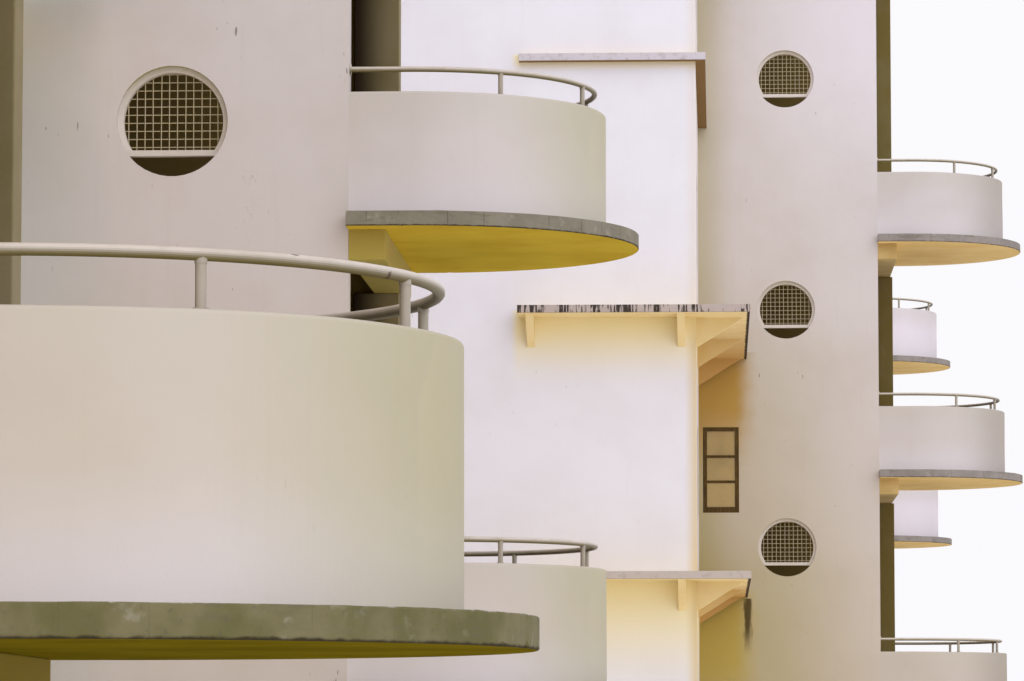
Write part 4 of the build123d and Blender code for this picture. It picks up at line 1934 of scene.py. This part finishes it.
@dataclass
class NearLedges:
    """Ledges along the front of the near range; no bracket stands against a tower's near side.

    Attributes:
        plan: Places in the block.
        finish: Paint of the ledges.
        thickness: Thickness of a ledge.
        deep: Projection of the two lower ledges.
        shallow: Projection of the top one.
        turn: How far the ledges run on round the near end.
        bracket_width: Width of a bracket.
        bracket_height: Height of a bracket at the wall.
        bracket_reach: How far a bracket stands out.
        bracket_pitch: Distance between brackets.
        end_brackets: Brackets on the end wall, from the front.
        rain_gap: From a ledge's end to the tower beyond it.
        arris: Width of the worn edges.
    """

    plan: BlockPlan
    finish: bpy.types.Material
    thickness: float = 10.0
    deep: float = 68.0
    shallow: float = 13.0
    turn: float = 226.0
    bracket_width: float = 10.0
    bracket_height: float = 38.0
    bracket_reach: float = 60.0
    bracket_pitch: float = 350.0
    end_brackets: tuple[float, ...] = (19.0, 211.0)
    rain_gap: float = 25.0
    arris: float = 0.5

    def add_bracket(self, parts: MeshParts, root: Point2, soffit: float, along_block: bool) -> None:
        """Add one wedge bracket.

        Args:
            parts: Piece that it joins.
            root: Middle of its back, seen from above.
            soffit: Level of the ledge's underside.
            along_block: Whether it stands on the front, and not on the end wall.
        """
        half = self.bracket_width / 2
        points = []
        for spread in (-half, half):
            for reach, up in ((0.0, 0.0), (self.bracket_reach, 0.0), (0.0, -self.bracket_height)):
                aside, out = (reach, spread) if along_block else (spread, -reach)
                points.append((root[0] + aside, root[1] + out, soffit + up))
        faces = [(0, 1, 2), (5, 4, 3), (0, 3, 4, 1), (1, 4, 5, 2), (2, 5, 3, 0)]
        parts.add(points, [tuple(reversed(face)) for face in faces] if along_block else faces)

    def add_brackets(self, parts: MeshParts, low: float, high: float, soffit: float) -> None:
        """Add the brackets of one stretch, and those on the end wall if it starts there.

        Args:
            parts: Piece that they join.
            low: Start of the stretch, along the block.
            high: Its end.
            soffit: Level of the ledge's underside.
        """
        block_range = self.plan.ranges[0]
        room = high - low - 2 * self.bracket_width
        count = max(1, round(room / self.bracket_pitch))
        kept = count + 1 if high == block_range.end else count
        for i in range(kept):
            middle = low + self.bracket_width + i * room / count
            self.add_bracket(parts, (block_range.front, middle), soffit, True)
        if low == block_range.start:
            for inset in self.end_brackets:
                self.add_bracket(parts, (block_range.front - inset, low), soffit, False)

    def build(self) -> None:
        """Make one piece with the near range's ledges and brackets."""
        parts = MeshParts()
        block_range = self.plan.ranges[0]
        front, start = block_range.front, block_range.start
        for level in self.plan.floors[1:]:
            projection = self.shallow if level == self.plan.floors[-1] else self.deep
            out, soffit = front + projection, level - self.thickness
            for low, high in block_range.stretches():
                stop = high if high == block_range.end else high - self.rain_gap
                outline = [(out, stop), (front, stop), (front, low)]
                if low == start:
                    back, near = front - self.turn, start - projection
                    outline = [(back, start), (back, near), (out, near)] + outline
                else:
                    outline = outline[2:] + [(out, low)] + outline[:2]
                parts.prism(outline, soffit, level)
                if projection == self.deep:
                    self.add_brackets(parts, low, high, soffit)
        piece = parts.build("near_front_ledges_worn", [self.finish], "ledge_concrete", arris=self.arris)
        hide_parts("near_front_ledges")


@dataclass(frozen=True)
class Lamp:
    """A broad, soft lamp far away.

    Attributes:
        name: Name of the lamp.
        power: Its strength.
        spread: Its width in the sky, in degrees.
        colour: Its colour in linear light.
        tilt: Turn about the X axis, in degrees; above 90 it shines upwards.
        turn: Turn about the upright axis, in degrees.
    """

    name: str
    power: float
    spread: float
    colour: Point3
    tilt: float
    turn: float

    def build(self) -> None:
        """Hang the lamp."""
        lamp = bpy.data.lights.new(self.name, "SUN")
        lamp.energy = self.power
        lamp.angle = math.radians(self.spread)
        lamp.color = self.colour
        sun = bpy.data.objects.new(self.name, lamp)
        bpy.context.scene.collection.objects.link(sun)
        sun.rotation_euler = Euler((math.radians(self.tilt), 0.0, math.radians(self.turn)))


@dataclass
class Studio:
    """Pale floor, soft light and the camera.

    Attributes:
        eye: Camera's place, in millimetres.
        turn_left: Turn to the left from straight along the block, in degrees.
        tilt_up: Tilt above the horizon, in degrees.
        focal_pixels: Focal length, in pixels of the picture.
        picture_width: Width of the picture, in pixels.
        sensor: Width of the camera's sensor, in millimetres of its own.
        clip: Nearest and farthest distance that the camera sees, in metres.
        floor_half: Half the width of the floor, in metres.
        floor_colour: Colour of the floor.
        sky: Colour and strength of the light from the sky.
        backdrop: Colour and strength of the sky as the camera sees it.
        lamps: The lamps: one from the near left, and the ground's reflection.
    """

    eye: Point3 = (472.0, -4995.2, 150.5)
    turn_left: float = 2.603
    tilt_up: float = 5.142
    focal_pixels: float = 4522.0
    picture_width: float = 1024.0
    sensor: float = 36.0
    clip: tuple[float, float] = (0.01, 1000.0)
    floor_half: float = 200.0
    floor_colour: str = "#DCDAD6"
    sky: tuple[str, float] = ("#F4F1FA", 0.95)
    backdrop: tuple[str, float] = ("#FBFAFD", 1.0)
    lamps: tuple[Lamp, ...] = (
        Lamp("broad_lamp", power=1.05, spread=70.0, colour=(1.0, 0.985, 0.97), tilt=54.0, turn=22.0),
        Lamp("ground_reflection", power=1.1, spread=100.0, colour=(1.0, 0.86, 0.62), tilt=135.0, turn=15.0),
    )

    def place_camera(self) -> None:
        """Make the camera at the photograph's viewing angle."""
        data = bpy.data.cameras.new("camera")
        data.sensor_fit = "HORIZONTAL"
        data.sensor_width = self.sensor
        data.lens = self.focal_pixels / self.picture_width * self.sensor
        data.clip_start, data.clip_end = self.clip
        camera = bpy.data.objects.new("camera", data)
        bpy.context.scene.collection.objects.link(camera)
        camera.location = Vector(self.eye) * MM
        camera.rotation_euler = Euler((math.radians(90 + self.tilt_up), 0.0, math.radians(self.turn_left)))
        bpy.context.scene.camera = camera

    def lay_floor(self) -> None:
        """Make the pale floor, which shows as plain white to the camera beyond the block's shadow."""
        half = self.floor_half
        corners = [(-half, -half, 0), (half, -half, 0), (half, half, 0), (-half, half, 0)]
        mesh = bpy.data.meshes.new("floor")
        mesh.from_pydata(corners, [], [(0, 1, 2, 3)])
        floor = bpy.data.objects.new("floor", mesh)
        bpy.context.scene.collection.objects.link(floor)
        mesh.materials.append(Coating("studio_floor", self.floor_colour).finish(Roughness=0.95))
        # The floor lets the reflected light through from below and still takes the block's shadow
        floor.visible_shadow = False

    def light(self) -> None:
        """Make the sky, which the camera sees paler than it shines, and hang the lamps."""
        world = bpy.data.worlds.new("studio_sky")
        bpy.context.scene.world = world
        world.use_nodes = True
        tree = world.node_tree
        tree.nodes.clear()
        path = add_node(tree, "ShaderNodeLightPath")
        seen = path.outputs["Is Camera Ray"]
        for name in ("Is Glossy Ray", "Is Transmission Ray"):
            either = add_node(tree, "ShaderNodeMath", {0: seen, 1: path.outputs[name]}, operation="MAXIMUM")
            seen = either.outputs[0]
        skies = [
            add_node(tree, "ShaderNodeBackground", {"Color": srgb_to_linear(colour), "Strength": strength})
            for colour, strength in (self.sky, self.backdrop)
        ]
        inputs = {0: seen, 1: skies[0].outputs["Background"], 2: skies[1].outputs["Background"]}
        mixed = add_node(tree, "ShaderNodeMixShader", inputs)
        add_node(tree, "ShaderNodeOutputWorld", {"Surface": mixed.outputs["Shader"]})
        for lamp in self.lamps:
            lamp.build()

    def build(self) -> None:
        """Make the camera, the floor and the light, and set how colours are shown."""
        self.place_camera()
        self.lay_floor()
        self.light()
        bpy.context.scene.view_settings.view_transform = "Standard"


@dataclass
class CarriedNodes:
    """Finishes for the frame's own nodes that keep their shape.

    Attributes:
        plan: Places in the block.
        nodes: The frame's nodes by name.
        tower_paint: Paint of each tower's walls.
        arris: Width of the worn edges on walls and roofs.
        fine_arris: Width of the worn edges on ledges and lintels.
        weld: Corners closer than this become one before their edges are worn.
        glow_reaches: How far the warm light reaches down below the ledges, from the lowest ledge up.
        ledge_depth: Projection of the two lower ledges.
        ledge_turn: How far the ledges run on round the corner of an end wall.
        shade_reach: How far the painted shade on the piers reaches either way from a tower's front edge.
    """

    plan: BlockPlan
    nodes: dict[str, bpy.types.Object]
    tower_paint: dict[int, bpy.types.Material]
    arris: float = 1.0
    fine_arris: float = 0.5
    weld: float = 0.02
    glow_reaches: tuple[float, ...] = (170.0, 100.0, 24.0)
    ledge_depth: float = 68.0
    ledge_turn: float = 226.0
    shade_reach: float = 16.0

    def dress(self, names: Iterable[str], material: bpy.types.Material, arris: float = 0.0) -> None:
        """Give nodes their finish, and worn edges if an arris is given.

        Args:
            names: Names of the nodes.
            material: Their finish.
            arris: Width of the worn edges, or 0 for sharp ones.
        """
        for name in names:
            node = self.nodes[name]
            if not node.material_slots:
                node.data.materials.append(material)
            for slot in node.material_slots:
                slot.material = material
            if arris > 0:
                weld = node.modifiers.new("weld", "WELD")
                weld.merge_threshold = self.weld * MM
                wear_edges(node, arris)
            LOG.info("%s: %s", name, material.name)

    def dress_walls(self) -> None:
        """Paint the long walls, the end walls and the towers."""
        glows = tuple(zip(self.plan.floors[1:], self.glow_reaches))
        wall_paints = {"near": ("#DCD6D3", "#CBC3BC"), "far": ("#E9E3E3", "#DCD3CE")}
        for name, (colour, shade) in wall_paints.items():
            paint = MasonryPaint(f"{name}_wall_masonry_paint", colour, shade, glows=glows, darker_below=0.3)
            walls = [f"{name}_front_wall_{number}" for number in (1, 2, 3)] + [f"{name}_back_wall"]
            self.dress(walls, paint.build())
        ends = (("near_end_wall", "party_wall"), ("step_wall", "far_end_wall"))
        for block_range, names in zip(self.plan.ranges, ends):
            paint = MasonryPaint(
                f"{block_range.name}_end_masonry_paint",
                colour="#EFEFF9",
                shade="#E8E6EF",
                glows=glows,
                glow_from=block_range.front - self.ledge_turn,
                yellow_corner=block_range.front,
                darker_below=0.06,
                scuffs=0.25,
            )
            self.dress(names, paint.build(), self.arris)
        for number, paint in self.tower_paint.items():
            self.dress([f"tower_{number}_walls"], paint)

    def dress_ledges(self) -> None:
        """Paint the ledges, the near range's worn ones among them."""
        ledges = self.plan.floors[1:]
        paint = PaintedConcrete(
            "ledge_masonry_paint",
            colour="#F0DCA8",
            shade="#E4CB8E",
            edges=tuple(zip(ledges, ("#C6BBB3", "#BFB2AC", "#D2CDD6"))),
            drip_lines=tuple(block_range.front + self.ledge_depth for block_range in self.plan.ranges),
            ledge_shade_from=780.0,
            stained_level=ledges[1],
            brown_underside_level=ledges[2],
        ).build()
        self.dress(("far_front_ledges", "back_ledges"), paint, self.fine_arris)
        NearLedges(self.plan, paint).build()

    def dress_tower_fronts(self) -> None:
        """Paint the lintels and build the dark piers."""
        step_line = self.plan.ranges[1].start
        lintel_paint = PaintedConcrete(
            "lintel_distemper",
            colour="#D2B981",
            shade="#B79A5C",
            near_colour="#B3A350",
            low_shade_colour="#8E7A0C",
            step_line=step_line,
        )
        self.dress(["tower_lintels"], lintel_paint.build(), self.fine_arris)
        edges = [tower.front_edge for tower in self.plan.towers[1:3]]
        pier_paint = PaintedConcrete(
            "pier_dark_masonry_paint",
            colour="#82723C",
            shade="#8A7D52",
            near_colour="#9E9270",
            step_line=step_line,
            shaded_backs=tuple((edge - self.shade_reach, edge + self.shade_reach) for edge in edges),
        )
        Piers(self.plan, pier_paint.build()).build()

    def dress_floors_and_roofs(self) -> None:
        """Give floors, roofs and the glass behind the windows their finish."""
        floor_paint = PaintedConcrete("trowelled_floor_concrete", colour="#6E6552", shade="#574E3C").build()
        storeys = ("ground", "first", "second", "third")
        floors = [f"{name}_{storey}_floor" for name in ("near", "far") for storey in storeys]
        self.dress(floors + ["tower_bases"], floor_paint)
        self.dress(("near_roof", "far_roof", "tower_roofs"), RoofScreed().build(), self.arris)
        self.dress(("near_glazing", "far_glazing"), SheetGlass().build())

    def build(self) -> None:
        """Dress all of them, in order."""
        self.dress_walls()
        self.dress_ledges()
        self.dress_tower_fronts()
        self.dress_floors_and_roofs()


def paint_towers(plan: BlockPlan) -> dict[int, bpy.types.Material]:
    """Make the paint of each tower's walls, with painted shade and bounce light in the corners by the far
    range's ledges.

    Args:
        plan: Places in the block.

    Returns:
        The paint by the tower's number.
    """
    first_floor, second_floor = plan.floors[1:3]
    tower_corner_shades = (
        CornerShade(second_floor, "#B3904A", start=80.0, end=200.0),
        CornerShade(first_floor, "#B5A054", start=100.0, end=220.0),
    )
    paints = {}
    for tower in plan.towers:
        near = tower.in_near_range
        paints[tower.number] = MasonryPaint(
            f"tower_{tower.number}_masonry_paint",
            colour="#DAD4D5" if near else "#D7D1D1",
            shade="#CFC7C3" if near else "#CCC4C0",
            scuffs=0.8,
            darker_below=0.3 if near else 0.45,
            cool_shade_from=plan.ranges[0].front if near else None,
            sky_lit_top=0.0 if near else 0.5,
            corner_shades=() if near else tower_corner_shades,
            corner=plan.ranges[-1].front,
            inner="#83703C",
            centre_line=tower.centre_line,
        ).build()
    return paints


def paint_parapets(plan: BlockPlan) -> dict[int, bpy.types.Material]:
    """Make the paint of each tower's parapets.

    Args:
        plan: Places in the block.

    Returns:
        The paint by the tower's number.
    """
    # Colour, shade, share of the darker, warmer tone low down, share of the painted reflection on the flanks
    # and its colour, by tower
    looks = {
        1: ("#D7D1CC", "#CCC5BA", 0.3, 0.45, "#ADAB74"),
        2: ("#DAD4D5", "#CFC7C3", 0.3, 0.45, "#ADAB74"),
        3: ("#D3CDCE", "#C9C1BD", 0.4, 0.5, "#938A78"),
        4: ("#E7E1EA", "#DED8DD", 0.12, 0.1, "#938A78"),
    }
    paints = {}
    for tower in plan.towers:
        colour, shade, darker_below, flank_reflection, reflected_colour = looks[tower.number]
        name = f"parapet_{tower.number}_masonry_paint"
        paint = MasonryPaint(
            name, colour, shade, scuffs=0.12, darker_below=darker_below, bounce_levels=tower.landings, flank_reflection=flank_reflection, reflected_colour=reflected_colour
        )
        paints[tower.number] = paint.build()
    return paints


def main() -> None:
    """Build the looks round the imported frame, in order, and report each piece."""
    logging.basicConfig(level=logging.INFO, format="%(message)s")
    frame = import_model()
    Studio().build()
    plan = BlockPlan()
    plan.read()
    tower_paint = paint_towers(plan)
    parapet_paint = paint_parapets(plan)
    CarriedNodes(plan, frame["nodes"], tower_paint).build()
    # One yellow distemper on every soffit: the lowest near one is painted in deep shade, the far range's
    # painted paler, as haze makes it look
    soffits = {
        Exposure.DAMP_AND_SHADED: SoffitPaint("damp_soffit_olive_distemper", "#7C6F1A", "#655A12").build(),
        Exposure.NEAR: SoffitPaint("near_soffit_yellow_distemper", "#D8BD46", "#C8A83A").build(),
        Exposure.FAR: SoffitPaint("far_soffit_buff_distemper", "#F6DA9C", "#EBCB88").build(),
    }
    slab_top = PaintedConcrete("landing_concrete", colour="#9A958A", shade="#7F7A6E").build()
    # Two chips in the enamel of the lowest rail, where its bend comes nearest
    rail = plan.towers[0].landings[0] + 109.5
    chips = ((340.0, -3594.5, rail + 0.8), (366.0, -3559.0, rail - 1.4))
    enamel = EnamelledSteel("cream_enamelled_pipe", "#D6CDC4", grime=0.95, chips=chips).build()
    Parapets(plan, parapet_paint).build()
    BalconySlabs(plan, slab_top, soffits).build()
    PipeRails(plan, enamel).build()
    rim_paint = MasonryPaint("rim_masonry_paint", colour="#D9D2CA", shade="#C9C1B4", scuffs=0.2).build()
    wire = EnamelledSteel("cream_enamelled_mesh", "#BDB08E", rust=0.3).build()
    RoundWindows(plan, rim_paint, wire).build()
    pane = SheetGlass("leaf_sheet_glass", "#BFA566", "#AA9258", 0.45).build()
    CasementWindows(plan, StainedTimber().build(), pane).build()


if __name__ == "__main__":
    main()
